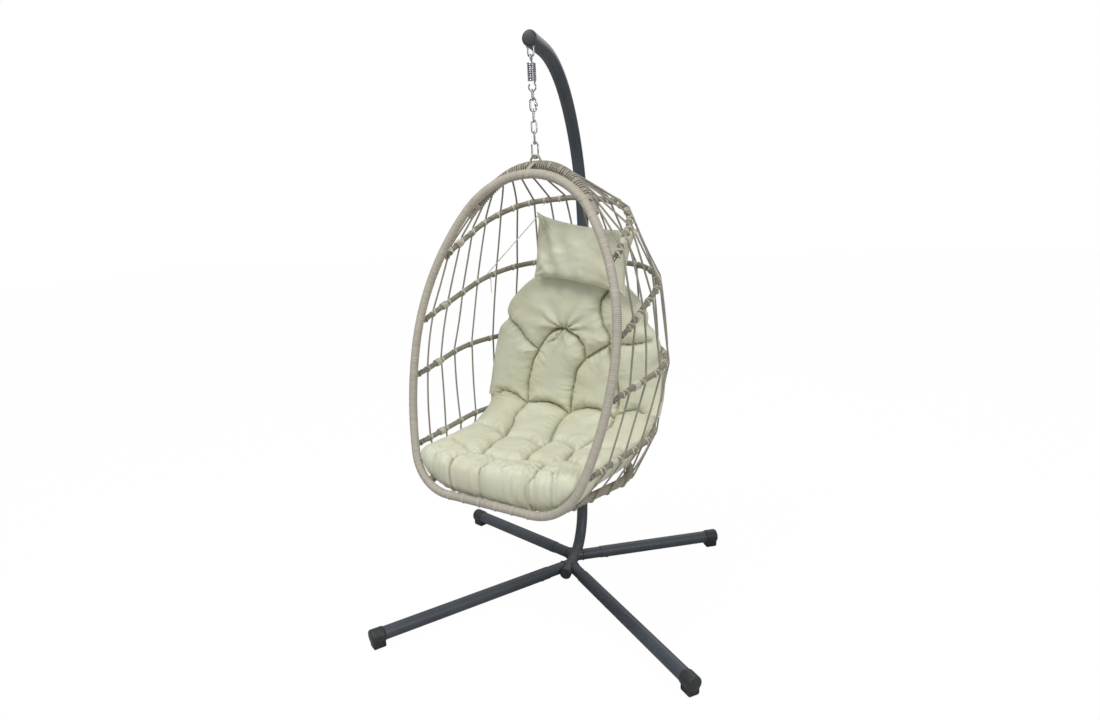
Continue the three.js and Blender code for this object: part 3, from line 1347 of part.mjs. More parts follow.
function basketGroup() {
  const group = new THREE.Group();
  group.position.set(0, HANG_Y, ringSeat);
  group.rotation.z = BASKET_TURN * DEGREE;
  group.add(named('front_hoop', hoop(), 'wicker'));
  group.add(named('top_arch', arch(0), 'wicker'));
  group.add(named('hanging_ring', ring(), 'wicker'));
  RIBS.forEach((rib) => {
    group.add(named(rib.name, tabbedRib(rib), 'rib'));
    group.add(named(`${rib.name}_bolt_left`, ribBolt(-1, rib), 'zinc'));
    group.add(named(`${rib.name}_bolt_right`, ribBolt(1, rib), 'zinc'));
  });
  group.add(named(BASE_RIB.name, baseRib(), 'rib'));
  for (let pair = 0; pair < CORD_PAIRS; pair += 1) {
    group.add(named(`woven_cord_${pair + 1}`, cord(pair), 'cord'));
  }
  group.add(named('seat_cushion', cushion(), 'fabric'));
  const head = new THREE.Group();
  head.position.copy(pillowPlace());
  head.rotation.copy(pillowTurn());
  head.add(named('head_pillow', pillow(), 'fabric'));
  group.add(head);
  group.add(named('pillow_tie_left', pillowTie(-1), 'ties'));
  group.add(named('pillow_tie_right', pillowTie(1), 'ties'));
  return group;
}

const chair = new THREE.Group();
chair.name = 'hanging_egg_chair';
chair.add(standGroup(), suspensionGroup(), basketGroup());

export default chair;
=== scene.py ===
# Looks of the hanging egg chair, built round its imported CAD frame. Metres, +Z up.

import random
from collections import defaultdict
from itertools import accumulate
from math import (
    acos, asin, atan2, ceil, copysign, cos, degrees, hypot, pi, radians, remainder, sin, sqrt, tan,
)

import bpy
import numpy as np
from mathutils import Euler, Matrix, Vector, noise


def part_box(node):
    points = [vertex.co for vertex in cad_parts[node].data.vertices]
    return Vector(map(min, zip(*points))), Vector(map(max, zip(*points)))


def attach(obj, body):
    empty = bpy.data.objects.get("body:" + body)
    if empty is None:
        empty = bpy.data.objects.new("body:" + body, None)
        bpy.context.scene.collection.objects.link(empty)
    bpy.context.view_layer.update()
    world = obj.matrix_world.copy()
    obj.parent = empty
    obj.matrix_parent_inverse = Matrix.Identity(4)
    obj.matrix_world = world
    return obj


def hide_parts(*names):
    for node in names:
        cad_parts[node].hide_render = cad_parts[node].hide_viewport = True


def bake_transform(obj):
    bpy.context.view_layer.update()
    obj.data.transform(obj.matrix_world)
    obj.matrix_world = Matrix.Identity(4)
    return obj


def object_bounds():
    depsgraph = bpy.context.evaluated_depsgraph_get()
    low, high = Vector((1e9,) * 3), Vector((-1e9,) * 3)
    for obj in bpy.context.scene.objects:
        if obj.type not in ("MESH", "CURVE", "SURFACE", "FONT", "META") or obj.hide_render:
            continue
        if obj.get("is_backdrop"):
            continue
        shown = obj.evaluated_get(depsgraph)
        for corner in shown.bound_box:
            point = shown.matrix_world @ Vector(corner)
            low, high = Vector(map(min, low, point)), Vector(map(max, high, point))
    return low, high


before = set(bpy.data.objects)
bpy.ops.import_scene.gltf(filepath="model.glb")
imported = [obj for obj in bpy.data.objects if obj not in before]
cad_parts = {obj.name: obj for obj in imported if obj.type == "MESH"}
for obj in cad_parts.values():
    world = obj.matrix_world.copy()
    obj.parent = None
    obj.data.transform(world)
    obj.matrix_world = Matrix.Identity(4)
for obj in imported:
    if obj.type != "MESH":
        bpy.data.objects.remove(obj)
cad_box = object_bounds()

MM = 0.001
UP = Vector((0, 0, 1))
ACROSS = Vector((1, 0, 0))
BACK = Vector((0, 1, 0))

# Camera, solved from the picture: place, turn, tilt and roll, and the picture's own frame

PICTURE_WIDTH = 1100
PICTURE_HEIGHT = 720
CAMERA_PLACE = Vector((0.6948, -2.4290, 1.5285))
CAMERA_TURN = 0.298
CAMERA_TILT = 0.335
CAMERA_ROLL = -0.046
FOCAL_PIXELS = 716.85
PRINCIPAL_X = 543.44
PRINCIPAL_Y = 438.90
SENSOR = 36

# Stand: the same driving dimensions as the CAD part

LEG_AXIS_HEIGHT = 0.045
LEG_DIAMETER = 0.050
LEG_START = 0.112
LEG_BOLT_PLACE = 0.142
FOOTPRINT_DEPTH = 1.090
FOOT_OUTER = 0.057
FOOT_SLEEVE = 0.052
FOOT_END = 0.005
FOOT_BLOCK_LENGTH = 0.045
FOOT_BLOCK_WIDTH = 0.043
FOOT_BLOCK_INSET = 0.004
FOOT_RIBS = 4

# Legs: side and end, angle in degrees, and how far back its axis meets the spine
LEGS = {
    "front_left": (-1, -1, 49.3, 0.135),
    "front_right": (1, -1, 49.3, 0.135),
    "rear_right": (1, 1, 28.4, 0.213),
    "rear_left": (-1, 1, 28.4, 0.213),
}

STUB_DIAMETER = 0.0463
TUBE_DIAMETER = 0.046
SPIGOT_DIAMETER = 0.0416
SPINE_FRONT_Y = 0.055
SPINE_BEND_Y = 0.207
SPINE_BEND_RADIUS = 0.160
POST_LEAN = 82.7
POST_STRAIGHT = 1.098
POST_JOINT = 0.560
ARM_FIRST_RADIUS = 0.633
ARM_FIRST_END = 138.4
ARM_SECOND_RADIUS = 0.477
ARM_SECOND_END = 176.6
ARM_TIP_STRAIGHT = 0.130
BEND_STEP = 3
TUBE_STEP = 0.012
TUBE_SIDES = 32
STUB_SIDES = 28
STUB_LENGTH = 0.030
SPIGOT_SUNK = 0.004
SPIGOT_LENGTH = 0.050
WELD_PLACE = 0.034
WELD_BEAD = 0.0026
WELD_UNEVEN = 0.22
WELD_WAVES = 9
LIP = 0.0002
LEAST_RADIUS = 1e-6
PLUG_RIM = 0.0026
PLUG_CROWN = 0.0032

# Suspension

HANG_Y = -0.1136
BAIL_LOW = 1.90635
BAIL_WIRE = 0.006
BAIL_WIDTH = 0.017
SPRING_TOP = 1.91195
SPRING_WIRE = 0.0046
SPRING_RADIUS = 0.0123
SPRING_PITCH = 0.00515
SPRING_TURNS = 9.75
TOP_HOOK_RADIUS = 0.0086
LOW_HOOK_RADIUS = 0.0118
HOOK_NECK = 0.0046

# Links: top, length, turn in degrees and body
LINKS = {
    "hook_link": (1.81684, 0.030, 90, "hook_link_unit"),
    "chain_link_upper": (1.76144, 0.0366, 96, "lower_chain"),
    "chain_link_middle": (1.73014, 0.0366, 14, "lower_chain"),
    "chain_link_lower": (1.69884, 0.0366, 112, "lower_chain"),
}

LINK_WIDTH = 0.0156
LINK_WIRE = 0.005
QUICK_TOP = 1.79264
QUICK_LENGTH = 0.037
QUICK_WIDTH = 0.018
QUICK_WIRE = 0.006
QUICK_TURN = 8.5
QUICK_GAP = 0.004
NUT_LENGTH = 0.0094
NUT_ACROSS = 0.010
CARABINER_TOP = 1.66804
CARABINER_LENGTH = 0.047
CARABINER_WIDTH = 0.020
CARABINER_WIRE = 0.006
CARABINER_TURN = 38
GATE_LENGTH = 0.024
GATE_WIRE = 0.005
RING_SEAT = 1.62884
RING_RADIUS = 0.019
RING_WIRE = 0.008
RING_PITCH = 0.0044
LINK_STEPS = 14
HOOK_STEPS = 9
CURL_STEPS = 8

# Basket, placed from the ring's seat and turned about the plumb line

BASKET_TURN = -17.5
HOOP_LEAN = 17.6
HOOP_TOP_FORWARD = 0.043
HOOP_TOP_DROP = 0.0534
HOOP_TUBE = 0.029
HOOP_HEIGHT = 1.050
HOOP_WIDTH = 0.778
HOOP_TOP_RADIUS = 0.300
HOOP_WIDEST_DROP = 0.567
HOOP_LOW_SIDE_RADIUS = 1.204
HOOP_CORNER_RADIUS = 0.170
ARCH_TUBE = 0.027
ARCH_HALF_SPAN = 0.242
ARCH_DROP = 0.0317
ARCH_BACK = 0.004
ARCH_POWER = 2.29
RIB_TUBE = 0.018
RIB_SETBACK = 0.030
RIB_TAB_END = 0.009
RIB_TAB_LENGTH = 0.016
RIB_TAB_BLEND = 0.026
RIB_TAB_THICKNESS = 0.005
RIB_TAB_HEIGHT = 0.020
LUG_THICKNESS = 0.004
LUG_HEIGHT = 0.020

# Ribs: drop, rise in degrees, the corner's place across and back, crown and bend radius
RIBS = {
    "rib_top": (0.252, 29.7, 0.267, 0.310, 0.036, 0.223),
    "rib_upper": (0.471, 19.2, 0.349, 0.462, 0.020, 0.232),
    "rib_lower": (0.662, 8.0, 0.448, 0.504, 0.021, 0.273),
    "rib_seat": (0.900, 2.3, 0.391, 0.612, 0.023, 0.321),
}
BASE_RIB = (1.022, -1.5, 0.345, 0.520, 0.060, 0.240)

BASE_RIB_TUBE = 0.026
CORD_DIAMETER = 0.0055
CORD_PAIRS = 9
CORD_END_SHARE = 0.045
CORD_ARCH_FIRST = 0.033
CORD_ARCH_PITCH = 0.023
CORD_SLACK = 0.0002
CORD_HOOK_START = -125
CORD_RIB_END = 165
CORD_HOOP_END = -150
SEAT_CORD_PAIRS = (3, 4, 5)
SEAT_CORD_FRONT_SHARE = 0.8
SEAT_GAP = 0.0003

# Bolts: shank, head, head height, nut across its flats and nut height

STAND_BOLT = (0.008, 0.015, 0.0044, 0.013, 0.0065)
RIB_BOLT = (0.006, 0.012, 0.0034, 0.010, 0.005)
BOLT_TAIL = 0.0015
BOLT_TAIL_EDGE = 0.0012

# Winding and binding, which only the picture shows

WRAP_PITCH = 0.0058
WRAP_DEPTH = 0.0011
WRAP_STATIONS = 6
WRAP_SIDES = 20
ARCH_WRAP_DEPTH = 0.0021
TURN_OFFSETS = (-0.22, 0.12)
# Painted shade in the gaps between turns: how many gaps get the darkest shade, and the range for the others
OPEN_GAP_SHARE = 0.05
GAP_SHADE = (0.4, 0.85)
HITCH_DRIFT = 0.026
BAND_WIDTH = 0.0046
BAND_THICKNESS = 0.0034
CORD_BOW = 0.0035
CORD_FADE = 0.004
CORD_STEP = 0.03
CORD_SIDES = 8
FULL_BOW_RUN = 0.2
LEAST_STEP = 0.0004
HOOK_SINK = 0.0042
ARCH_HOOK_SINK = 0.0034
CORD_LOOK = 0.0063
COIL_PITCH = 0.0088
COIL_WIRE = 0.0048
COIL_STEPS = 14
COIL_SINK = 0.42
COIL_WOBBLE = 0.0003
LASHING_STEPS = 28
MOST_TURNS = 1500
TURN_MARGIN = 1e-6
BAND_LOBES = 5
BAND_PITCH = 0.095
BAND_DEPTH = 0.0022
TAB_DARKNESS = 0.55
END_WRAP_TURNS = 4
END_WRAP_PITCH = 0.0062

# Lashings of the arch: turns, pitch and wire
END_LASHING = (5, 0.0036, 0.0034)
TOP_LASHING = (3, 0.0044, 0.0042)

# How pale a cord is where it bends round the arch, a rib, the base rib and the hoop
PALE_AT_ARCH = 0.35
PALE_AT_RIB = 0.7
PALE_AT_BASE = 0.6
PALE_AT_HOOP = 0.75

basket_turn = Matrix.Rotation(radians(BASKET_TURN), 4, "Z")
basket_place = Matrix.Translation((0, HANG_Y, RING_SEAT)) @ basket_turn


# Materials

def feed(tree, socket, value):
    """Sets a socket to a number or a colour, or links it to another socket."""
    if isinstance(value, (int, float)):
        socket.default_value = value
    elif isinstance(value, tuple):
        socket.default_value = (*value, 1)
    else:
        tree.links.new(value, socket)


def new_material(name, color, roughness, metallic=0.0):
    material = bpy.data.materials.new(name)
    material.use_nodes = True
    material.diffuse_color = (*color, 1)
    tree = material.node_tree
    shader = tree.nodes["Principled BSDF"]
    for key, value in (("Base Color", color), ("Roughness", roughness), ("Metallic", metallic)):
        feed(tree, shader.inputs[key], value)
    return material, tree, shader


def add_node(tree, kind, **values):
    node = tree.nodes.new(kind)
    for key, value in values.items():
        setattr(node, key, value)
    return node


def noise_at(tree, scale, detail=3.0, stretch=None):
    """Noise over object space, or stretched over the lay of a winding or a cloth."""
    texture = add_node(tree, "ShaderNodeTexNoise")
    texture.inputs["Scale"].default_value = scale
    texture.inputs["Detail"].default_value = detail
    if stretch:
        lay = add_node(tree, "ShaderNodeUVMap", uv_map="lay")
        mapping = add_node(tree, "ShaderNodeMapping")
        mapping.inputs["Scale"].default_value = (*stretch, 1)
        tree.links.new(lay.outputs["UV"], mapping.inputs["Vector"])
        coordinates = mapping.outputs["Vector"]
    else:
        coordinates = add_node(tree, "ShaderNodeTexCoord").outputs["Object"]
    tree.links.new(coordinates, texture.inputs["Vector"])
    return texture.outputs["Fac"]


def value_at(tree, name):
    """A number that the mesh carries at each vertex."""
    return add_node(tree, "ShaderNodeAttribute", attribute_name=name).outputs["Fac"]


def ramp(tree, source, *stops):
    """Colour between two stops, each a place and a colour."""
    node = add_node(tree, "ShaderNodeValToRGB")
    for element, (place, color) in zip(node.color_ramp.elements, stops):
        element.position = place
        element.color = (*color, 1)
    tree.links.new(source, node.inputs["Fac"])
    return node.outputs["Color"]


def math_node(tree, operation, *values):
    node = add_node(tree, "ShaderNodeMath", operation=operation)
    for socket, value in zip(node.inputs, values):
        feed(tree, socket, value)
    return node.outputs["Value"]


def mixed(tree, share, first, second, blend="MIX"):
    node = add_node(tree, "ShaderNodeMix", data_type="RGBA", blend_type=blend)
    for socket, value in ((0, share), (6, first), (7, second)):
        feed(tree, node.inputs[socket], value)
    return node.outputs[2]


def bump(tree, shader, height, strength, distance):
    node = add_node(tree, "ShaderNodeBump")
    node.inputs["Strength"].default_value = strength
    node.inputs["Distance"].default_value = distance
    tree.links.new(height, node.inputs["Height"])
    tree.links.new(node.outputs["Normal"], shader.inputs["Normal"])


def shade(color, factor):
    return tuple(min(1.0, part * factor) for part in color)


def shades(tree, source, color, *stops):
    """Shades of one colour; each stop is a place and a factor."""
    return ramp(tree, source, *((place, shade(color, factor)) for place, factor in stops))


def plain_material(name, color, roughness, broad, stops, fine, relief, rough=None, metallic=0.0):
    """One uneven colour with a fine grain; broad and fine are the values of two noises."""
    material, tree, shader = new_material(name, color, roughness, metallic)
    feed(tree, shader.inputs["Base Color"], shades(tree, noise_at(tree, *broad), color, *stops))
    grain = noise_at(tree, *fine)
    if rough:
        feed(tree, shader.inputs["Roughness"], math_node(tree, "MULTIPLY_ADD", grain, *rough))
    bump(tree, shader, grain, *relief)
    return material


def wicker_material(name, color, spread, groove_shade):
    """Flat cord wound on a tube: each turn has its own tone, and the grooves between have painted shade."""
    material, tree, shader = new_material(name, color, 0.58)
    turn_tone = noise_at(tree, 1.0, 1.0, (1.3 / WRAP_PITCH, 0.3))
    tone = shades(tree, turn_tone, color, (0.25, 1 - spread), (0.75, 1 + spread))
    weather = ramp(tree, noise_at(tree, 5.0), (0.3, (0.90, 0.90, 0.88)), (0.7, (1.04, 1.02, 1.0)))
    both = mixed(tree, 1.0, tone, weather, "MULTIPLY")
    # The depth values blend the colour towards a darker copy of itself: painted shade in the grooves between
    # turns and on the dark core under the arch coil, and the darker flat tabs at the rib ends.
    final = mixed(tree, value_at(tree, "depth"), both, shade(color, groove_shade))
    tree.links.new(final, shader.inputs["Base Color"])
    bump(tree, shader, noise_at(tree, 1.0, 3.0, (2400.0, 14.0)), 0.35, 0.0005)
    return material


def cord_material():
    """Round rattan cord: brownish grey on its runs, and paler where it bends round a rib."""
    color = (0.285, 0.258, 0.208)
    material, tree, shader = new_material("wicker_cord", color, 0.55)
    tone = shades(tree, noise_at(tree, 1.0, 3.0, (18.0, 6.0)), color, (0.3, 0.8), (0.7, 1.2))
    final = mixed(tree, value_at(tree, "pale"), tone, (0.55, 0.51, 0.43))
    tree.links.new(final, shader.inputs["Base Color"])
    bump(tree, shader, noise_at(tree, 1.0, 3.0, (90.0, 30.0)), 0.4, 0.0006)
    return material


def fabric_material():
    """Satin-woven cushion cloth, with painted shade, darker and yellower, down in its creases."""
    material, tree, shader = new_material("cushion_cloth", (0.62, 0.622, 0.475), 0.62)
    tone = ramp(tree, noise_at(tree, 7.0), (0.3, (0.60, 0.585, 0.43)), (0.7, (0.635, 0.655, 0.52)))
    # Painted shade in the creases: near crease lines the cloth goes over into a darker, yellower colour.
    final = mixed(tree, value_at(tree, "crease_shade"), tone, (0.42, 0.41, 0.26))
    tree.links.new(final, shader.inputs["Base Color"])
    shader.inputs["Sheen Weight"].default_value = 0.25
    shader.inputs["Sheen Roughness"].default_value = 0.4
    warp = noise_at(tree, 1.0, 2.0, (2600.0, 160.0))
    weft = noise_at(tree, 1.0, 2.0, (160.0, 2600.0))
    bump(tree, shader, math_node(tree, "MAXIMUM", warp, weft), 0.18, 0.0006)
    return material


STEEL = plain_material(
    "powder_coated_steel", (0.050, 0.061, 0.074), 0.46, broad=(9.0,), stops=((0.3, 0.86), (0.7, 1.16)),
    fine=(620.0, 2.0), relief=(0.25, 0.0006), rough=(0.16, 0.38),
)
PLASTIC = plain_material(
    "black_moulded_plastic", (0.020, 0.022, 0.025), 0.5, broad=(30.0,), stops=((0.3, 0.8), (0.75, 1.5)),
    fine=(900.0, 2.0), relief=(0.35, 0.0005),
)
ZINC = plain_material(
    "zinc_plated_steel", (0.47, 0.48, 0.50), 0.24, broad=(160.0, 4.0), stops=((0.35, 0.62), (0.6, 1.15)),
    fine=(160.0, 4.0), relief=(0.08, 0.0004), rough=(0.25, 0.13), metallic=1.0,
)
TAPE = plain_material(
    "cotton_tape", (0.74, 0.73, 0.66), 0.85, broad=(1.0, 3.0, (1500.0, 12.0)),
    stops=((0.3, 0.86), (0.7, 1.1)), fine=(1.0, 3.0, (1500.0, 12.0)), relief=(0.4, 0.0008),
)
WICKER = wicker_material("hoop_wicker", (0.46, 0.428, 0.366), 0.12, 0.36)
RIB_WICKER = wicker_material("rib_wicker", (0.25, 0.235, 0.185), 0.16, 0.45)
BAND_WICKER = wicker_material("band_wicker", (0.34, 0.31, 0.25), 0.12, 0.35)
HITCH_WICKER = wicker_material("hitch_wicker", (0.57, 0.55, 0.46), 0.12, 0.6)
COIL_WICKER = wicker_material("coil_wicker", (0.36, 0.335, 0.275), 0.22, 0.34)
ARCH_WICKER = wicker_material("arch_wicker", (0.40, 0.375, 0.30), 0.12, 0.22)
CORD = cord_material()
CLOTH = fabric_material()


# Mesh helpers

def directions(points, closed=False):
    last = len(points) - 1
    result = []
    for i, point in enumerate(points):
        before = points[i - 1] if closed or i > 0 else point
        after = points[0 if i == last else i + 1] if closed or i < last else point
        result.append(((point - before).normalized() + (after - point).normalized()).normalized())
    return result


def frames_along(points, side, closed):
    """Frames that turn as little as possible along a route: point, side and rise."""
    along = directions(points, closed)
    current = (side - along[0] * side.dot(along[0])).normalized()
    result = []
    for i, point in enumerate(points):
        if i > 0:
            current = along[i - 1].rotation_difference(along[i]) @ current
            current = (current - along[i] * current.dot(along[i])).normalized()
        result.append((point, current.copy(), along[i].cross(current)))
    return result


def lengths_along(points):
    return [0.0, *accumulate((after - before).length for before, after in zip(points, points[1:]))]


def route_length(route):
    return lengths_along(route)[-1]


def resampled(points, step, multiple=1, closed=False):
    """The route at even steps, as near as the whole length allows."""
    route = points + [points[0]] if closed else points
    lengths = lengths_along(route)
    count = max(2, round(lengths[-1] / step / multiple) * multiple)
    result = []
    k = 0
    for i in range(count if closed else count + 1):
        want = lengths[-1] * i / count
        while k < len(route) - 2 and lengths[k + 1] < want:
            k += 1
        run = lengths[k + 1] - lengths[k]
        result.append(route[k].lerp(route[k + 1], (want - lengths[k]) / run if run else 0))
    return result


def smooth_route(points, rounds=2):
    """Corner cutting, which turns a polygon into a soft curve."""
    for _ in range(rounds):
        cut = [a.lerp(b, share) for a, b in zip(points, points[1:]) for share in (0.25, 0.75)]
        points = [points[0], *cut, points[-1]]
    return points


def arc(centre, radius, start, sweep, steps, first=ACROSS, second=UP):
    """Points at even steps of an arc; its angles, in degrees, turn from the first way to the second."""
    angles = [radians(start + sweep * i / steps) for i in range(steps + 1)]
    return [centre + first * (radius * cos(a)) + second * (radius * sin(a)) for a in angles]


def ring_row(middle, first, second, wide, high, sides, shift=0.0):
    """A closed ring of points round a middle."""
    angles = [2 * pi * (k + shift) / sides for k in range(sides)]
    return [middle + first * (wide * cos(a)) + second * (high * sin(a)) for a in angles]


def make_piece(name, vertices, faces, uvs, material, place=None, values=None):
    mesh = bpy.data.meshes.new(name)
    mesh.from_pydata(vertices, [], faces)
    if place is not None:
        mesh.transform(place)
    mesh.polygons.foreach_set("use_smooth", [True] * len(mesh.polygons))
    if uvs:
        mesh.uv_layers.new(name="lay").data.foreach_set("uv", uvs)
    for key, numbers in (values or {}).items():
        mesh.attributes.new(key, "FLOAT", "POINT").data.foreach_set("value", numbers)
    mesh.set_sharp_from_angle(angle=radians(50))
    mesh.materials.append(material)
    piece = bpy.data.objects.new(name, mesh)
    bpy.context.scene.collection.objects.link(piece)
    return piece


def dress(piece, body, slot, *nodes):
    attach(piece, body)
    if nodes:
        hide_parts(*nodes)


class Shape:
    """Vertices, faces and lay of one piece, gathered from several sweeps and turned bodies."""

    def __init__(self):
        self.vertices = []
        self.faces = []
        self.uvs = []
        self.values = defaultdict(list)

    def fill(self, key, number):
        """Gives this number to all vertices that have none yet."""
        self.values[key] += [number] * (len(self.vertices) - len(self.values[key]))

    def grid(self, rows, lays, closed=False):
        """Joins rings of points with quads, and closes the two ends of an open run."""
        start = len(self.vertices)
        count = len(rows)
        sides = len(rows[0])
        for row in rows:
            self.vertices.extend(row)
        for i in range(count if closed else count - 1):
            here = start + i * sides
            after = start + (i + 1) % count * sides
            u0 = lays[i]
            u1 = lays[i + 1] if i + 1 < count else 2 * lays[i] - lays[i - 1]
            for k in range(sides):
                kk = (k + 1) % sides
                v0, v1 = k / sides, (k + 1) / sides
                self.faces.append((here + k, here + kk, after + kk, after + k))
                self.uvs += (u0, v0, u0, v1, u1, v1, u1, v0)
        if not closed:
            last = start + (count - 1) * sides
            self.faces += [tuple(range(start, start + sides))[::-1], tuple(range(last, last + sides))]
            self.uvs += (0, 0) * sides + (lays[-1], 0) * sides

    def tube(self, points, radius, sides=12, side=ACROSS, closed=False, oval=None, twist=0.0, mark=None):
        """One tube along a route. radius and mark, the depth value (painted groove shade, or a darker tab),
        may depend on place along and angle.
        """
        lengths = lengths_along(points)
        rows = []
        for length, (point, aside, rise) in zip(lengths, frames_along(points, side, closed)):
            wide, high = oval(length) if oval else (1.0, 1.0)
            row = []
            for k in range(sides):
                lobe = 2 * pi * (k + 0.5) / sides
                size = radius(length, lobe) if callable(radius) else radius
                angle = lobe + twist * length
                out = aside * (size * wide * cos(angle)) + rise * (size * high * sin(angle))
                row.append(point + out)
                if mark:
                    self.values["depth"].append(mark(length, lobe))
            rows.append(row)
        self.grid(rows, lengths, closed)

    def band(self, stations, width, thickness, sides=8):
        """A flat oval cord along given places, each with the way that its flat side faces."""
        points = [place for place, _ in stations]
        rows = [
            ring_row(point, along.cross(way).normalized(), way, width / 2, thickness / 2, sides, 0.5)
            for (point, way), along in zip(stations, directions(points))
        ]
        self.grid(rows, lengths_along(points))

    def turned(self, profile, base, direction, sides=24):
        """A body of revolution from (radius, height) pairs, its ends closed."""
        way = direction.normalized()
        first = BACK.rotation_difference(way) @ ACROSS
        rows = []
        for radius, height in profile:
            reach = max(radius, LEAST_RADIUS)
            rows.append(ring_row(base + way * height, first, way.cross(first), reach, reach, sides))
        self.grid(rows, [height for _, height in profile])

    def dress(self, name, material, body, slot, *nodes, place=None):
        """Makes the piece, in the basket's frame if it rides the basket."""
        place = basket_place if body == "basket" else place
        piece = make_piece(name, self.vertices, self.faces, self.uvs, material, place, self.values)
        dress(piece, body, slot, *nodes)


# Stand

def bend(points, angle, radius, end_angle):
    """Adds an arc that turns a line's rise from one angle to another."""
    start = points[-1]
    was = radians(angle)
    steps = ceil((end_angle - angle) / BEND_STEP)
    for i in range(1, steps + 1):
        now = radians(angle + (end_angle - angle) * i / steps)
        turn = Vector((0, sin(now) - sin(was), cos(was) - cos(now)))
        points.append(start + turn * radius)


def run_on(points, angle, length):
    way = Vector((0, cos(radians(angle)), sin(radians(angle))))
    points.append(points[-1] + way * length)


def lower_line():
    points = [Vector((0, SPINE_FRONT_Y, LEG_AXIS_HEIGHT))]
    run_on(points, 0, SPINE_BEND_Y - SPINE_FRONT_Y)
    bend(points, 0, SPINE_BEND_RADIUS, POST_LEAN)
    run_on(points, POST_LEAN, POST_JOINT)
    return points


def upper_line():
    points = [lower_line()[-1]]
    run_on(points, POST_LEAN, POST_STRAIGHT - POST_JOINT)
    bend(points, POST_LEAN, ARM_FIRST_RADIUS, ARM_FIRST_END)
    bend(points, ARM_FIRST_END, ARM_SECOND_RADIUS, ARM_SECOND_END)
    run_on(points, ARM_SECOND_END, ARM_TIP_STRAIGHT)
    return points


def leg_way(leg):
    x_sign, y_sign, angle, crossing = LEGS[leg]
    turn = radians(angle)
    way = Vector((x_sign * cos(turn), y_sign * sin(turn), 0))
    half = FOOTPRINT_DEPTH / 2 - FOOT_OUTER / 2 * cos(turn)
    reach = (half - y_sign * crossing) / sin(turn)
    return Vector((0, crossing, LEG_AXIS_HEIGHT)), way, reach


def weld_bead(shape, place, way, radius, count=40):
    """A small ragged weld ring where a stub meets the spine."""
    side = way.cross(UP).normalized()
    rows = []
    for i in range(count):
        turn = 2 * pi * i / count
        out = side * cos(turn) + UP * sin(turn)
        bead = WELD_BEAD * (1 + WELD_UNEVEN * sin(WELD_WAVES * turn))
        rows.append(ring_row(place + out * radius, out, way, bead, bead, 6))
    shape.grid(rows, [i * MM for i in range(count)], True)


def make_stand():
    post = Shape()
    line = lower_line()
    post.tube(resampled(line, TUBE_STEP), TUBE_DIAMETER / 2, TUBE_SIDES)
    tip = line[-1]
    way = (tip - line[-2]).normalized()
    post.tube([tip - way * SPIGOT_SUNK, tip + way * SPIGOT_LENGTH], SPIGOT_DIAMETER / 2, STUB_SIDES)
    for leg in LEGS:
        start, way, _ = leg_way(leg)
        post.tube([start, start + way * (LEG_START + STUB_LENGTH)], STUB_DIAMETER / 2, STUB_SIDES, UP)
        weld_bead(post, start + way * WELD_PLACE, way, STUB_DIAMETER / 2 + 2 * LIP)
    post.dress("welded_lower_post", STEEL, "stand", "coated_steel", "lower_post")

    arm = Shape()
    line = upper_line()
    line[0] = line[0] + (line[1] - line[0]).normalized() * SEAT_GAP
    arm.tube(resampled(line, TUBE_STEP), TUBE_DIAMETER / 2, TUBE_SIDES)
    arm.dress("curved_upper_arm", STEEL, "stand", "coated_steel", "upper_arm")
    make_plug("arm_end", line[-1], line[-1] - line[-2])
    make_plug("spine_end", Vector((0, SPINE_FRONT_Y, LEG_AXIS_HEIGHT)), -BACK)

    for leg in LEGS:
        start, way, reach = leg_way(leg)
        tube = Shape()
        places = (LEG_START, LEG_START + 0.0008, LEG_START + 0.05, reach - FOOT_END - SEAT_GAP)
        tube.tube([start + way * place for place in places], LEG_DIAMETER / 2, TUBE_SIDES, UP)
        tube.dress(f"leg_tube_{leg}", STEEL, "stand", "coated_steel", f"leg_{leg}")
        make_foot(leg, start, way, reach)
        make_leg_bolt(leg, start, way)
    make_post_bolt()
    make_bail()


def make_plug(end, place, way):
    edge = TUBE_DIAMETER / 2
    rows = [(0, 0), (edge - 0.002, 0), (edge + LIP, 0.0006), (edge + LIP, PLUG_RIM)]
    for turn in map(radians, (20, 40, 58, 72, 82)):
        rows.append((edge * cos(turn) + LIP, PLUG_RIM + PLUG_CROWN * sin(turn)))
    rows.append((0, PLUG_RIM + PLUG_CROWN + LIP / 2))
    plug = Shape()
    plug.turned(rows, place, way, TUBE_SIDES)
    plug.dress(f"{end}_plug", PLASTIC, "stand", "black_plastic", f"{end}_cap")


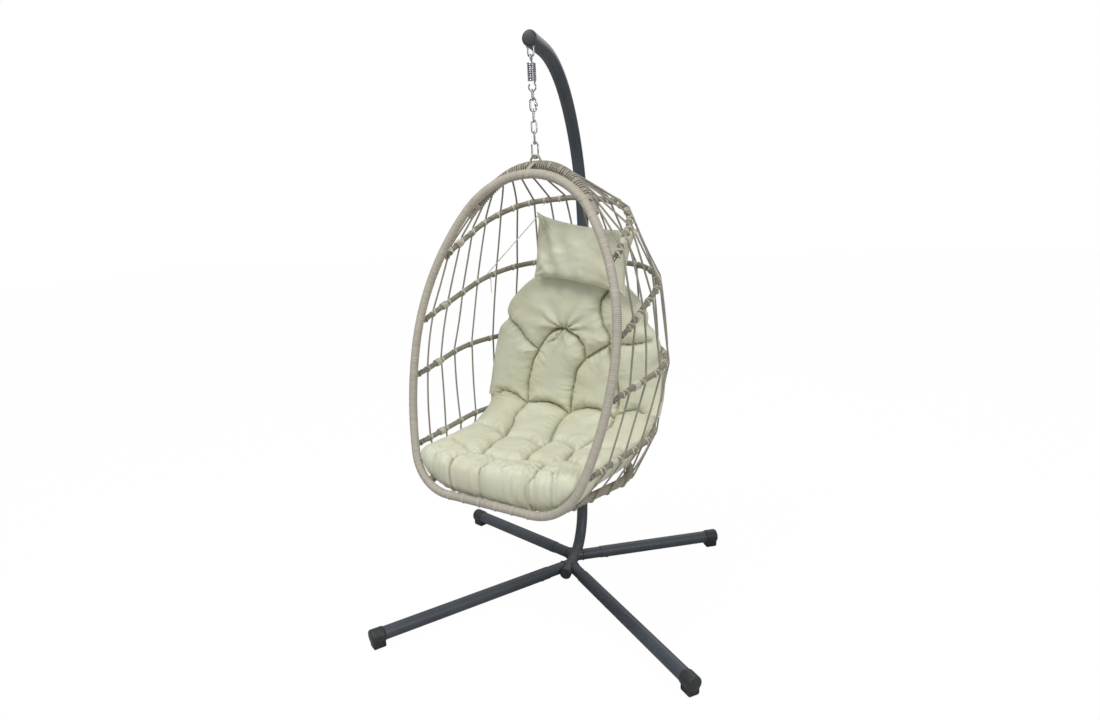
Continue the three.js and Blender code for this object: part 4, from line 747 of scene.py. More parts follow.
def make_foot(leg, start, way, reach):
    foot = Shape()
    edge = FOOT_OUTER / 2
    rows = [(0, 0), (edge - 0.011, 0)]
    for turn in map(radians, (15, 35, 55, 75, 90)):
        rows.append((edge - 0.008 * (1 - sin(turn)), 0.007 * (1 - cos(turn))))
    rows += [(edge, FOOT_SLEEVE - 0.010), (edge, FOOT_SLEEVE - 0.006), (edge - 0.0012, FOOT_SLEEVE - 0.0012)]
    rows += [(edge - 0.0025, FOOT_SLEEVE), (0, FOOT_SLEEVE)]
    foot.turned(rows, start + way * reach, -way, 36)
    side = UP.cross(way)
    half = FOOT_BLOCK_WIDTH / 2
    outline = [(half, -0.010), (half, -0.036), (half - 0.0015, -0.041), (half - 0.0055, -LEG_AXIS_HEIGHT)]
    outline += [(-x, z) for x, z in reversed(outline)]
    far = reach - FOOT_BLOCK_INSET
    near = far - FOOT_BLOCK_LENGTH
    rows = []
    edges = ((0, 0.93), (0.0012, 0.98), (0.003, 1))
    places = [(near + inset, size) for inset, size in edges]
    places += [(far - inset, size) for inset, size in edges[::-1]]
    for along, size in places:
        rows.append([
            start + way * along + side * (x * size) + UP * max(z, -LEG_AXIS_HEIGHT + (1 - size) * 0.03)
            for x, z in outline
        ])
    foot.grid(rows, [along for along, _ in places])
    for i in range(FOOT_RIBS):
        along = near + 0.008 + i * (FOOT_BLOCK_LENGTH - 0.016) / (FOOT_RIBS - 1)
        for sign in (-1, 1):
            top = start + way * along + side * (sign * (half + LIP)) - UP * 0.012
            foot.tube([top, top - UP * 0.026], 0.0011, 6, way)
    foot.dress(f"foot_cap_{leg}", PLASTIC, "stand", "black_plastic", f"foot_{leg}")


def bolt_shape(place, inward, grip, sizes):
    """Button head with a hex socket, shank, and a chamfered hexagonal nut."""
    shank, head, head_height, nut_across, nut_height = sizes
    end = grip + nut_height
    socket = -head_height * 0.35
    rows = [(0, socket), (head * 0.17, socket), (head * 0.19, -head_height)]
    for turn in map(radians, (38, 55, 70, 82)):
        rows.append((head / 2 * sin(turn), -head_height * cos(turn) ** 0.7))
    rows += [(head / 2, 0), (shank / 2, 0), (shank / 2, end + BOLT_TAIL_EDGE), (0, end + BOLT_TAIL)]
    bolt = Shape()
    bolt.turned(rows, place, inward, 24)
    bolt.turned(sleeve_rows(shank / 2, nut_across / sqrt(3), 0.9, grip, end, 0.0006), place, inward, 6)
    return bolt


def sleeve_rows(inner, radius, chamfer_share, low, high, chamfer):
    """Profile of a ring with chamfered ends, open towards the middle."""
    slim = radius * chamfer_share
    rows = [(inner, low), (slim, low), (radius, low + chamfer)]
    return rows + [(radius, high - chamfer), (slim, high), (inner, high)]


def make_leg_bolt(leg, start, way):
    place = start + way * LEG_BOLT_PLACE - UP * (LEG_DIAMETER / 2 + SEAT_GAP)
    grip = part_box(f"leg_bolt_{leg}")[1].z - place.z - STAND_BOLT[4] - BOLT_TAIL
    bolt = bolt_shape(place, UP, grip, STAND_BOLT)
    bolt.dress(f"leg_screw_{leg}", ZINC, "stand", "plated_steel", f"leg_bolt_{leg}")


def make_post_bolt():
    low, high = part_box("post_bolt")
    place = Vector((low.x + STAND_BOLT[2], (low.y + high.y) / 2, (low.z + high.z) / 2))
    bolt = bolt_shape(place, ACROSS, TUBE_DIAMETER + 2 * SEAT_GAP, STAND_BOLT)
    bolt.dress("post_screw", ZINC, "stand", "plated_steel", "post_bolt")


def make_bail():
    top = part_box("hanging_bail")[1].z
    radius = BAIL_WIDTH / 2
    bow = arc(Vector((0, HANG_Y, BAIL_LOW + radius)), radius, 180, 180, 24)
    ends = [Vector((sign * radius, HANG_Y, top)) for sign in (-1, 1)]
    bail = Shape()
    bail.tube([ends[0], *bow, ends[1]], BAIL_WIRE / 2, 16, BACK)
    wire = BAIL_WIRE / 2
    rows = [(wire - 0.0005, -0.0025), (wire + 0.0012, -0.001), (wire + 0.003, 0.0015), (wire + 0.003, 0.003)]
    for sign in (-1, 1):
        bail.turned(rows, Vector((sign * radius, HANG_Y, BAIL_LOW + 0.025)), UP, 20)
    bail.dress("welded_bail", ZINC, "stand", "coated_steel", "hanging_bail")


# Suspension

def link_route(length, width, top):
    radius = width / 2
    high = Vector((0, 0, top - radius))
    low = Vector((0, 0, top - length + radius))
    return arc(high, radius, 0, 180, LINK_STEPS) + arc(low, radius, 180, 180, LINK_STEPS)


def turned_place(turn):
    return Matrix.Translation((0, HANG_Y, 0)) @ Matrix.Rotation(radians(turn), 4, "Z")


def make_links():
    wire = LINK_WIRE / 2
    weld = [(wire - LIP, -0.0016), (wire + 2 * LIP, -0.0006), (wire + 2 * LIP, 0.0006), (wire - LIP, 0.0016)]
    for name, (top, length, turn, body) in LINKS.items():
        link = Shape()
        link.tube(link_route(length, LINK_WIDTH, top), wire, 14, BACK, True)
        link.turned(weld, Vector((LINK_WIDTH / 2, 0, top - length / 2)), UP, 14)
        link.dress(f"{name}_wire", ZINC, body, "plated_steel", name, place=turned_place(turn))


def open_link(length, width, top, wire, gap_top, gap_low):
    ends = [Vector((width / 2, 0, height)) for height in (gap_top, gap_low)]
    shape = Shape()
    shape.tube([ends[0], *link_route(length, width, top), ends[1]], wire / 2, 16, BACK)
    return shape


def make_quick_link():
    middle = QUICK_TOP - QUICK_LENGTH / 2
    place = turned_place(QUICK_TURN)
    link = open_link(QUICK_LENGTH, QUICK_WIDTH, QUICK_TOP, QUICK_WIRE, middle + QUICK_GAP, middle)
    link.dress("quick_link_wire", ZINC, "quick_link_unit", "plated_steel", "quick_link", place=place)
    nut = Shape()
    half = NUT_LENGTH / 2
    rows = sleeve_rows(QUICK_WIRE / 2 + SEAT_GAP, NUT_ACROSS / 2, 0.86, -half, half, 0.0007)
    nut.turned(rows, Vector((QUICK_WIDTH / 2, 0, middle)), UP, 6)
    nut.dress("quick_link_sleeve", ZINC, "quick_nut", "plated_steel", "quick_link_nut", place=place)


def make_carabiner():
    low = CARABINER_TOP - CARABINER_LENGTH
    reach = GATE_LENGTH / 2
    middle = low + CARABINER_WIDTH / 2 + 2 * SEAT_GAP + reach
    half = reach + SEAT_GAP
    place = turned_place(CARABINER_TURN)
    hook = open_link(
        CARABINER_LENGTH, CARABINER_WIDTH, CARABINER_TOP, CARABINER_WIRE, middle + half, middle - half,
    )
    hook.dress("carabiner_hook", ZINC, "lower_chain", "plated_steel", "carabiner", place=place)
    gate = Shape()
    radius = GATE_WIRE / 2
    rows = [(0, -reach), (radius * 0.3, -reach), (radius * 0.78, -reach + 0.0009), (radius, -reach + 0.0024)]
    rows += [(radius, reach - 0.002), (radius * 0.9, reach - 0.0008), (radius * 0.6, reach), (0, reach)]
    gate.turned(rows, Vector((CARABINER_WIDTH / 2, 0, middle)), UP, 16)
    pin = Vector((CARABINER_WIDTH / 2, 0, middle - reach + 0.0025))
    gate.turned([(0.0009, -0.0029), (0.0012, -0.0028), (0.0012, 0.0028), (0.0009, 0.0029)], pin, BACK, 12)
    gate.dress("carabiner_latch", ZINC, "gate", "plated_steel", "carabiner_gate", place=place)


def make_spring():
    top_centre = Vector((0, 0, SPRING_TOP - TOP_HOOK_RADIUS))
    coil_top = SPRING_TOP - 2 * TOP_HOOK_RADIUS - HOOK_NECK
    coil_low = coil_top - SPRING_PITCH * SPRING_TURNS
    low_centre = Vector((0, 0, coil_low - HOOK_NECK - LOW_HOOK_RADIUS))
    points = arc(top_centre, TOP_HOOK_RADIUS, -60, 310, HOOK_STEPS, -BACK)
    steps = round(SPRING_TURNS * CURL_STEPS)
    coil = arc(Vector((0, 0, coil_top)), SPRING_RADIUS, 90, 360 * steps / CURL_STEPS, steps, ACROSS, BACK)
    points += [point - UP * (SPRING_PITCH * i / CURL_STEPS) for i, point in enumerate(coil)]
    points += arc(low_centre, LOW_HOOK_RADIUS, 62, -290, HOOK_STEPS)
    spring = Shape()
    spring.tube(smooth_route(points), SPRING_WIRE / 2, 12)
    place = Matrix.Translation((0, HANG_Y, 0))
    piece = make_piece("coil_spring", spring.vertices, spring.faces, spring.uvs, ZINC, place)
    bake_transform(piece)
    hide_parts("tension_spring")


# Basket routes, in the basket's own frame

lean = radians(HOOP_LEAN)


def on_hoop_plane(across, drop, setback=0.0):
    return Vector((
        across,
        -HOOP_TOP_FORWARD - drop * sin(lean) + setback * cos(lean),
        -HOOP_TOP_DROP - drop * cos(lean) - setback * sin(lean),
    ))


def flat_arc(centre, radius, start, end, step=radians(1.5)):
    steps = max(2, ceil(abs(end - start) * max(1, radius / 0.3) / step))
    points = []
    for i in range(1, steps + 1):
        angle = start + (end - start) * i / steps
        points.append((centre[0] + radius * sin(angle), centre[1] - radius * cos(angle)))
    return points


def hoop_half():
    half_width = HOOP_WIDTH / 2
    fall = HOOP_WIDEST_DROP - HOOP_TOP_RADIUS
    side_radius = (half_width ** 2 + fall ** 2 - HOOP_TOP_RADIUS ** 2) / (2 * (half_width - HOOP_TOP_RADIUS))
    side_centre = (half_width - side_radius, HOOP_WIDEST_DROP)
    low_centre = (half_width - HOOP_LOW_SIDE_RADIUS, HOOP_WIDEST_DROP)
    corner_reach = HOOP_LOW_SIDE_RADIUS - HOOP_CORNER_RADIUS
    corner_fall = HOOP_HEIGHT - HOOP_CORNER_RADIUS - HOOP_WIDEST_DROP
    corner_centre = (
        low_centre[0] + sqrt(corner_reach ** 2 - corner_fall ** 2), HOOP_HEIGHT - HOOP_CORNER_RADIUS,
    )
    top_end = atan2(-side_centre[0], fall)
    low_end = pi / 2 + asin(corner_fall / corner_reach)
    points = [(0.0, 0.0)]
    points += flat_arc((0, HOOP_TOP_RADIUS), HOOP_TOP_RADIUS, 0, top_end)
    points += flat_arc(side_centre, side_radius, top_end, pi / 2)
    points += flat_arc(low_centre, HOOP_LOW_SIDE_RADIUS, pi / 2, low_end)
    points += flat_arc(corner_centre, HOOP_CORNER_RADIUS, low_end, pi)
    points.append((0.0, HOOP_HEIGHT))
    return points


HALF = hoop_half()


def half_width_at(drop):
    for (x0, d0), (x1, d1) in zip(HALF, HALF[1:]):
        if d1 >= drop:
            return x0 + (x1 - x0) * (drop - d0) / (d1 - d0)
    return 0.0


def hoop_route():
    left = [(-x, drop) for x, drop in reversed(HALF[1:-1])]
    return [on_hoop_plane(x, drop) for x, drop in HALF + left]


def arch_end_drop():
    for (x0, d0), (x1, d1) in zip(HALF, HALF[1:]):
        if x1 >= ARCH_HALF_SPAN:
            return d0 + (d1 - d0) * (ARCH_HALF_SPAN - x0) / (x1 - x0)
    return 0.0


def arch_route(steps=80):
    end = on_hoop_plane(0, arch_end_drop(), (HOOP_TUBE + ARCH_TUBE) / 2 + SEAT_GAP)
    points = []
    for i in range(steps + 1):
        share = 1 - 2 * i / steps
        rise = 1 - abs(share) ** ARCH_POWER
        points.append(Vector((
            share * ARCH_HALF_SPAN, end.y + (ARCH_BACK - end.y) * rise, end.z + (-ARCH_DROP - end.z) * rise,
        )))
    return points


def rib_half(rib, across, flat_end, steps=26):
    _, _, corner_x, depth, crown, bend_radius = rib
    if flat_end:
        points = [(across, -RIB_TAB_END), (across, RIB_TAB_LENGTH), (across, RIB_TAB_LENGTH + RIB_TAB_BLEND)]
    else:
        points = [(across, 0.0)]
    start = Vector(points[-1])
    corner = Vector((corner_x, depth))
    middle = Vector((0, depth + crown))
    to_start = start - corner
    to_middle = middle - corner
    opening = to_start.angle(to_middle)
    reach = bend_radius / tan(opening / 2)
    start_way = to_start.normalized()
    middle_way = to_middle.normalized()
    first = corner + start_way * reach
    last = corner + middle_way * reach
    centre = corner + (start_way + middle_way).normalized() * (bend_radius / sin(opening / 2))
    first_angle = atan2(first.y - centre.y, first.x - centre.x)
    last_angle = atan2(last.y - centre.y, last.x - centre.x)
    turn = remainder(last_angle - first_angle, 2 * pi)
    for i in range(steps + 1):
        angle = first_angle + turn * i / steps
        points.append((centre.x + bend_radius * cos(angle), centre.y + bend_radius * sin(angle)))
    points.append((middle.x, middle.y))
    return points


def rib_route(rib, across, setback, flat_end):
    right = rib_half(rib, across, flat_end)
    left = [(-x, back) for x, back in reversed(right[:-1])]
    start = on_hoop_plane(0, rib[0], setback)
    rise = radians(rib[1])
    way = Vector((0, cos(rise), sin(rise)))
    return [start + ACROSS * x + way * back for x, back in right + left]


def tabbed_rib_route(rib):
    across = half_width_at(rib[0]) + LUG_THICKNESS / 2 + SEAT_GAP + RIB_TAB_THICKNESS / 2
    return rib_route(rib, across, RIB_SETBACK, True)


def base_rib_route():
    return rib_route(BASE_RIB, half_width_at(BASE_RIB[0]), 0.0, False)


def place_along(route, length):
    """Point and direction at a length along a route."""
    left = length
    for i in range(1, len(route)):
        run = (route[i] - route[i - 1]).length
        last = i == len(route) - 1
        if left <= run or last:
            here = (route[i] - route[i - 1]).normalized()
            before = (route[i - 1] - route[i - 2]).normalized() if i > 1 else here
            after = here if last else (route[i + 1] - route[i]).normalized()
            share = left / run
            way = (before + here) * (1 - share) + (after + here) * share
            return route[i - 1].lerp(route[i], share), way.normalized()
        left -= run


class Crossing:
    """The circle in which a cord goes round a tube; angles run from outward through down to inward."""

    def __init__(self, route, length, radius):
        inside = Vector((0, 0, -HOOP_WIDEST_DROP))
        self.point, self.along = place_along(route, length)
        outward = self.point - inside
        outward.z = 0
        self.outward = (outward - self.along * outward.dot(self.along)).normalized()
        self.down = self.along.cross(self.outward)
        if self.down.z > 0:
            self.down.negate()
        self.radius = radius + CORD_DIAMETER / 2 + CORD_SLACK

    def seen(self, target):
        away = target - self.point
        x, y = away.dot(self.outward), away.dot(self.down)
        return atan2(y, x), hypot(x, y)

    def touch_from(self, target):
        angle, reach = self.seen(target)
        return angle + acos(self.radius / reach)

    def leave_to(self, target):
        angle, reach = self.seen(target)
        if angle < 0 and target.z < self.point.z:
            angle += 2 * pi
        return angle - acos(self.radius / reach)

    def round(self, start, end, drift=0.0, step=14):
        """Points round the circle from one angle to another, drifting along the tube."""
        steps = max(2, ceil(abs(degrees(end - start)) / step))
        points = []
        for i in range(steps + 1):
            angle = start + (end - start) * i / steps
            points.append(self.at(angle, self.radius, drift * (i / steps - 0.5)))
        return points

    def away(self, angle):
        """The way out of the tube at an angle."""
        return self.outward * cos(angle) + self.down * sin(angle)

    def at(self, angle, radius, shift):
        return self.point + self.away(angle) * radius + self.along * shift

    def hitch(self, start, drift, step=12):
        """Centre and outward way of a flat band: two turns side by side, joined on the outer side."""
        total = 4 * pi
        steps = ceil(degrees(total) / step)
        band = []
        for i in range(steps + 1):
            share = i / steps
            shift = drift * (1 - abs(2 * share - 1))
            lift = BAND_THICKNESS * 0.7 * sin(pi * share) ** 2 * (share > 0.5)
            angle = start + total * share
            place = self.at(angle, self.radius - CORD_DIAMETER / 2 + lift, shift)
            band.append((place, self.away(angle)))
        return band


# Basket pieces

def wound(radius, pitch, depth=WRAP_DEPTH, seed=0):
    """Radius of a tube under a tight winding, with each turn a little off the next."""
    source = random.Random(seed)
    offsets = [source.uniform(*TURN_OFFSETS) * depth for _ in range(MOST_TURNS)]

    def at(length, _):
        turn = length / pitch
        hollow = 1 - sqrt(max(0.0, 1 - (2 * (turn % 1) - 1) ** 2))
        return radius - depth * hollow + offsets[int(turn + TURN_MARGIN) % MOST_TURNS]
    return at


def groove_shade(pitch, seed=0):
    """Painted shade in the gap between two turns; here and there two turns stand further apart, and their
    gap gets the darkest shade.
    """
    source = random.Random(seed + 100)
    gap_shades = []
    for _ in range(MOST_TURNS):
        gap_shades.append(1.0 if source.random() < OPEN_GAP_SHARE else source.uniform(*GAP_SHADE))

    def at(length, _):
        turn = length / pitch
        share = (turn + TURN_MARGIN) % 1
        return gap_shades[round(turn) % MOST_TURNS] * max(0.0, 1 - 5 * min(share, 1 - share))
    return at


def wrapped_tube(shape, points, radius, closed, seed, depth):
    route = resampled(points, WRAP_PITCH / WRAP_STATIONS, WRAP_STATIONS, closed)
    total = route_length(route + [route[0]]) if closed else route_length(route)
    pitch = total / round(total / WRAP_PITCH)
    shape.tube(
        route, wound(radius, pitch, depth, seed), WRAP_SIDES, BACK, closed, mark=groove_shade(pitch, seed),
    )


def lashing(shape, middle, along, wide_way, half_wide, half_high, turns, pitch, wire):
    """An oval binding round two tubes that lie side by side."""
    high_way = along.cross(wide_way).normalized()
    points = []
    for i in range(turns * LASHING_STEPS + 1):
        angle = 2 * pi * i / LASHING_STEPS
        out = wide_way * (half_wide * cos(angle)) + high_way * (half_high * sin(angle))
        points.append(middle + out + along * (pitch * (i / LASHING_STEPS - turns / 2)))
    shape.tube(points, wire / 2, 8, along)


def make_hoop():
    hoop = Shape()
    wrapped_tube(hoop, hoop_route(), HOOP_TUBE / 2, True, 3, WRAP_DEPTH)
    hoop.dress("hoop_winding", WICKER, "basket", "hoop_wicker", "front_hoop")

    lugs = Shape()
    for rib in RIBS.values():
        for sign in (-1, 1):
            add_lug(lugs, sign * half_width_at(rib[0]), rib[0])
    lugs.fill("depth", 0.0)
    lugs.dress("hoop_lugs", RIB_WICKER, "basket", "hoop_wicker")


def add_lug(shape, across, drop):
    middle = on_hoop_plane(across, drop)
    away = Vector((0, cos(lean), -sin(lean)))
    rise = Vector((0, sin(lean), cos(lean)))
    half = LUG_HEIGHT / 2
    outline = [(HOOP_TUBE / 4, -half), (RIB_SETBACK, -half)]
    for turn in map(radians, range(-75, 90, 15)):
        outline.append((RIB_SETBACK + half * cos(turn), half * sin(turn)))
    outline += [(RIB_SETBACK, half), (HOOP_TUBE / 4, half)]
    rows = []
    for shift, size in ((-0.5, 0.94), (-0.42, 1.0), (0.42, 1.0), (0.5, 0.94)):
        centre = middle + away * RIB_SETBACK + ACROSS * (shift * LUG_THICKNESS)
        rows.append([centre + away * ((x - RIB_SETBACK) * size) + rise * (z * size) for x, z in outline])
    shape.grid(rows, [0, 0.001, 0.002, 0.003])


def make_arch():
    arch = Shape()
    route = arch_route()
    wrapped_tube(arch, route, ARCH_TUBE / 2, False, 5, ARCH_WRAP_DEPTH)
    arch.dress("arch_winding", WICKER, "basket", "hoop_wicker", "top_arch")
    make_arch_coil(route)

    binding = Shape()
    hoop = hoop_route()
    for index in (len(route) - 6, 5):
        place = route[index]
        along = (route[index + 1] - route[index - 1]).normalized()
        nearest = min(hoop, key=lambda point: (point - place).length)
        apart = nearest - place
        wide = (apart - along * apart.dot(along)).normalized()
        high = HOOP_TUBE / 2 + 0.0008
        middle = (nearest + place) / 2
        lashing(binding, middle, along, wide, apart.length / 2 + high, high, *END_LASHING)
    top_hoop = on_hoop_plane(0, 0)
    top_arch = Vector((0, ARCH_BACK, -ARCH_DROP))
    apart = top_hoop - top_arch
    half_wide = apart.length / 2 + HOOP_TUBE / 2 + 0.002
    lashing(
        binding, (top_hoop + top_arch) / 2, ACROSS, apart.normalized(), half_wide, HOOP_TUBE / 2 + 0.0018,
        *TOP_LASHING,
    )
    binding.fill("depth", 0.0)
    binding.dress("arch_lashings", WICKER, "basket", "hoop_wicker")


def make_arch_coil(route):
    """Round cord wound over most of the arch, round a dark core tube that is painted shade showing between
    its turns.
    """
    fine = resampled(route, COIL_PITCH / COIL_STEPS)
    keep = len(fine) // 12
    fine = fine[keep:-keep]
    turns = []
    for i, (place, along) in enumerate(zip(fine, directions(fine))):
        aside = along.cross(BACK).normalized()
        angle = 2 * pi * i / COIL_STEPS
        wobble = COIL_WOBBLE * noise.noise(Vector((i / COIL_STEPS * 0.9, 0.4, 0.2)))
        reach = ARCH_TUBE / 2 + COIL_WIRE * COIL_SINK + wobble
        out = aside * (reach * cos(angle)) + aside.cross(along) * (reach * sin(angle))
        turns.append(place + out)
    coil = Shape()
    coil.tube(turns, COIL_WIRE / 2, 8)
    coil.fill("depth", 0.0)
    # The core tube is dark all over: painted shade between the turns of the coil.
    coil.tube(fine[::COIL_STEPS // 2], ARCH_TUBE / 2 + 0.0008, 20)
    coil.fill("depth", 1.0)
    coil.dress("arch_coil", COIL_WICKER, "basket", "hoop_wicker")


def make_ring():
    ends = [Vector((sign * RING_RADIUS, 0, -ARCH_DROP + 0.008)) for sign in (1, -1)]
    bow = arc(Vector((0, 0, -RING_RADIUS)), RING_RADIUS, 0, 180, 36)
    route = resampled([ends[0], *bow, ends[1]], RING_PITCH / 4, 4)
    pitch = route_length(route) / round(route_length(route) / RING_PITCH)
    ring = Shape()
    ring.tube(route, wound(RING_WIRE / 2, pitch, 0.0007, 9), 16, BACK, mark=groove_shade(pitch))
    ring.dress("ring_winding", ARCH_WICKER, "basket", "hoop_wicker", "hanging_ring")


def strand_share(index):
    """Where a strand crosses a rib, as a share of the rib's length."""
    return CORD_END_SHARE + (1 - 2 * CORD_END_SHARE) * index / (2 * CORD_PAIRS - 1)


def make_ribs():
    for name, rib in RIBS.items():
        route = tabbed_rib_route(rib)
        make_rib_tube(name, route)
        make_rib_hitches(name, route)
        outside = half_width_at(rib[0]) + LUG_THICKNESS / 2 + RIB_TAB_THICKNESS + 2 * SEAT_GAP
        grip = LUG_THICKNESS + RIB_TAB_THICKNESS + 2 * SEAT_GAP
        for side, sign in (("left", -1), ("right", 1)):
            place = on_hoop_plane(sign * outside, rib[0], RIB_SETBACK)
            bolt = bolt_shape(place, ACROSS * -sign, grip, RIB_BOLT)
            bolt.dress(f"{name}_rivet_{side}", ZINC, "basket", "plated_steel", f"{name}_bolt_{side}")


def make_rib_tube(name, route):
    total = route_length(route)
    flat_run = RIB_TAB_END + RIB_TAB_LENGTH

    def section(length):
        """The round tube goes over into a flat, tall tab at each end."""
        share = min(1.0, max(0.0, (min(length, total - length) - flat_run) / RIB_TAB_BLEND))
        share = share * share * (3 - 2 * share)
        thin = RIB_TAB_THICKNESS / RIB_TUBE
        tall = RIB_TAB_HEIGHT / RIB_TUBE
        return thin + (1 - thin) * share, tall + (1 - tall) * share

    def mark(length, _):
        return TAB_DARKNESS if min(length, total - length) < flat_run else 0.0

    body = Shape()
    body.tube(resampled(route, 0.004), RIB_TUBE / 2, 20, oval=section, mark=mark)
    body.dress(f"{name}_tube", RIB_WICKER, "basket", "rib_wicker", name)


def make_rib_hitches(name, route):
    """Close turns near each end of a rib, and a band round it at each strand."""
    total = route_length(route)
    ends = Shape()
    share = strand_share(0.55)
    for place in (total * share, total * (1 - share)):
        crossing = Crossing(route, place, RIB_TUBE / 2 - 0.001)
        points = crossing.round(0, 2 * pi * END_WRAP_TURNS, END_WRAP_PITCH * END_WRAP_TURNS)
        ends.tube(points, 0.0027, 8, crossing.along)
    for index in range(2 * CORD_PAIRS):
        crossing = Crossing(route, total * strand_share(index), RIB_TUBE / 2)
        drift = copysign(HITCH_DRIFT, index - CORD_PAIRS + 0.5)
        ends.band(crossing.hitch(0.0, drift), BAND_WIDTH, BAND_THICKNESS)
    ends.fill("depth", 0.0)
    ends.dress(f"{name}_hitches", HITCH_WICKER, "basket", "rib_wicker")


def make_base_rib():
    """The lowest rib, wrapped in broad twisted lobes."""
    radius = BASE_RIB_TUBE / 2

    def ridge(_, lobe):
        return radius + 0.001 - BAND_DEPTH * (1 - abs(sin(BAND_LOBES * lobe / 2)) ** 0.6)

    # Painted shade in the grooves between the lobes.
    def mark(_, lobe):
        return max(0.0, 1 - 2.6 * abs(sin(BAND_LOBES * lobe / 2)))

    band = Shape()
    route = resampled(base_rib_route(), 0.003)
    band.tube(route, ridge, BAND_LOBES * 8, twist=2 * pi / BAND_PITCH, mark=mark)
    band.dress("base_rib_band", BAND_WICKER, "basket", "rib_wicker", "rib_base")


def strand_points(index, forward):
    """Route of one strand with a mark on each point, 1 where it bends round a rib."""
    share = strand_share(index)
    from_middle = index - CORD_PAIRS + 0.5
    shift = copysign(CORD_ARCH_FIRST + CORD_ARCH_PITCH * (abs(from_middle) - 0.5), from_middle)
    arch_path = arch_route()
    circles = [Crossing(arch_path, route_length(arch_path) / 2 + shift, ARCH_TUBE / 2)]
    paths = [(tabbed_rib_route(rib), RIB_TUBE) for rib in RIBS.values()]
    paths.append((base_rib_route(), BASE_RIB_TUBE))
    circles += [Crossing(path, route_length(path) * share, tube / 2) for path, tube in paths]
    base = circles[-1]
    points = []

    def add(new_points, mark):
        points.extend((point, mark) for point in new_points)
    first = circles[0]
    first.radius -= ARCH_HOOK_SINK
    add(first.round(radians(CORD_HOOK_START), first.leave_to(circles[1].point)), PALE_AT_ARCH)
    for i in range(1, len(circles) - 1):
        circle = circles[i]
        start = circle.touch_from(circles[i - 1].point)
        end = max(circle.leave_to(circles[i + 1].point), start + 0.05)
        add(circle.round(start, end), PALE_AT_RIB)
    arrive = base.touch_from(circles[-2].point)
    if not forward:
        add(base.round(arrive, radians(CORD_RIB_END)), PALE_AT_BASE)
        return points
    front = Crossing(hoop_route(), 0, HOOP_TUBE / 2)
    front.point = on_hoop_plane(base.point.x * SEAT_CORD_FRONT_SHARE, HOOP_HEIGHT)
    front.outward = Vector((0, -1, 0))
    front.down = Vector((0, 0, -1))
    front.along = ACROSS.copy()
    front.radius -= HOOK_SINK
    add(base.round(arrive, base.leave_to(front.point)), PALE_AT_BASE)
    angle, reach = front.seen(base.point)
    behind = angle + 2 * pi if angle < 0 else angle
    add(front.round(behind - acos(front.radius / reach), radians(CORD_HOOP_END)), PALE_AT_HOOP)
    return points


def make_cords():
    for pair in range(CORD_PAIRS):
        forward = pair in SEAT_CORD_PAIRS
        strands = strand_points(2 * pair, forward) + strand_points(2 * pair + 1, forward)[::-1]
        points = strands[:1]
        for point, mark in strands[1:]:
            if (point - points[-1][0]).length > LEAST_STEP:
                points.append((point, mark))
        points = filled(points, pair)
        cord = Shape()
        cord.tube([point for point, _ in points], CORD_LOOK / 2, CORD_SIDES)
        cord.values["pale"] = [mark for _, mark in points for _ in range(CORD_SIDES)]
        cord.dress(f"cord_pair_{pair + 1}", CORD, "basket", "wicker_cord", f"woven_cord_{pair + 1}")


def filled(points, seed):
    """Adds points on the long straight runs, where a cord is at its own colour and never quite straight."""
    source = random.Random(seed)
    result = points[:1]
    for (before, _), (after, mark) in zip(points, points[1:]):
        run = after - before
        parts = ceil(run.length / CORD_STEP)
        if parts > 1:
            edge = CORD_FADE / run.length
            bow = CORD_BOW * min(1, run.length / FULL_BOW_RUN)
            sideways = Vector((source.uniform(-1, 1), source.uniform(-1, 1), 0)) * bow
            for share in [edge] + [k / parts for k in range(1, parts)] + [1 - edge]:
                result.append((before + run * share + sideways * sin(pi * share), 0.0))
        result.append((after, mark))
    return result


# Cushion and pillow

CUSHION_ROUTE = [
    (-0.362, -0.988), (-0.250, -0.986), (-0.100, -0.984), (0.060, -0.977), (0.168, -0.952), (0.224, -0.903),
    (0.242, -0.835), (0.242, -0.715), (0.237, -0.600), (0.231, -0.480), (0.227, -0.400), (0.225, -0.362),
]
CUSHION_HALF_WIDTHS = [
    (0, 306), (20, 326), (60, 332), (240, 335), (360, 341), (500, 343), (600, 349), (650, 350), (760, 337),
    (850, 321), (920, 303), (946, 288), (964, 256), (996, 264), (1030, 250), (1060, 222), (1100, 174),
    (1138, 110), (1154, 60),
]
CUSHION_SIDE_RISES = [
    (0, 34), (360, 36), (480, 70), (600, 118), (700, 112), (850, 90), (1000, 70), (1100, 50), (1154, 50),
]
RIGHT_EXTRA = [(0, 0), (420, 0), (560, 6), (700, 20), (850, 32), (960, 34), (1060, 26), (1154, 0)]
RIGHT_LEAN_BACK = 0.5
LEAN_BACK_START = 560
LEAN_BACK_RUN = 200
CUSHION_HALF_THICKNESS = 58
CUSHION_SAG = [(0, 8), (12, 14), (26, 18), (60, 18), (120, 4), (190, 0), (1154, 0)]
CUSHION_END_RUN = 46
CUSHION_BOW = 32
CUSHION_BOW_END = 260
SLOPE_STEP = 6.0
CUSHION_COLUMNS = 150
CUSHION_ROWS = 236
PIPING_RADIUS = 0.0018
PIPING_START = 6
FRONT_DIP = 22
SIDE_POWER = 5
TOP_FULLNESS = 1.10
PLUMP_UNEVEN = 0.10
HANG_SHARE = 0.55
HANG_LOSS_IN_FRONT = 0.22
SEAM_PULL = 0.018

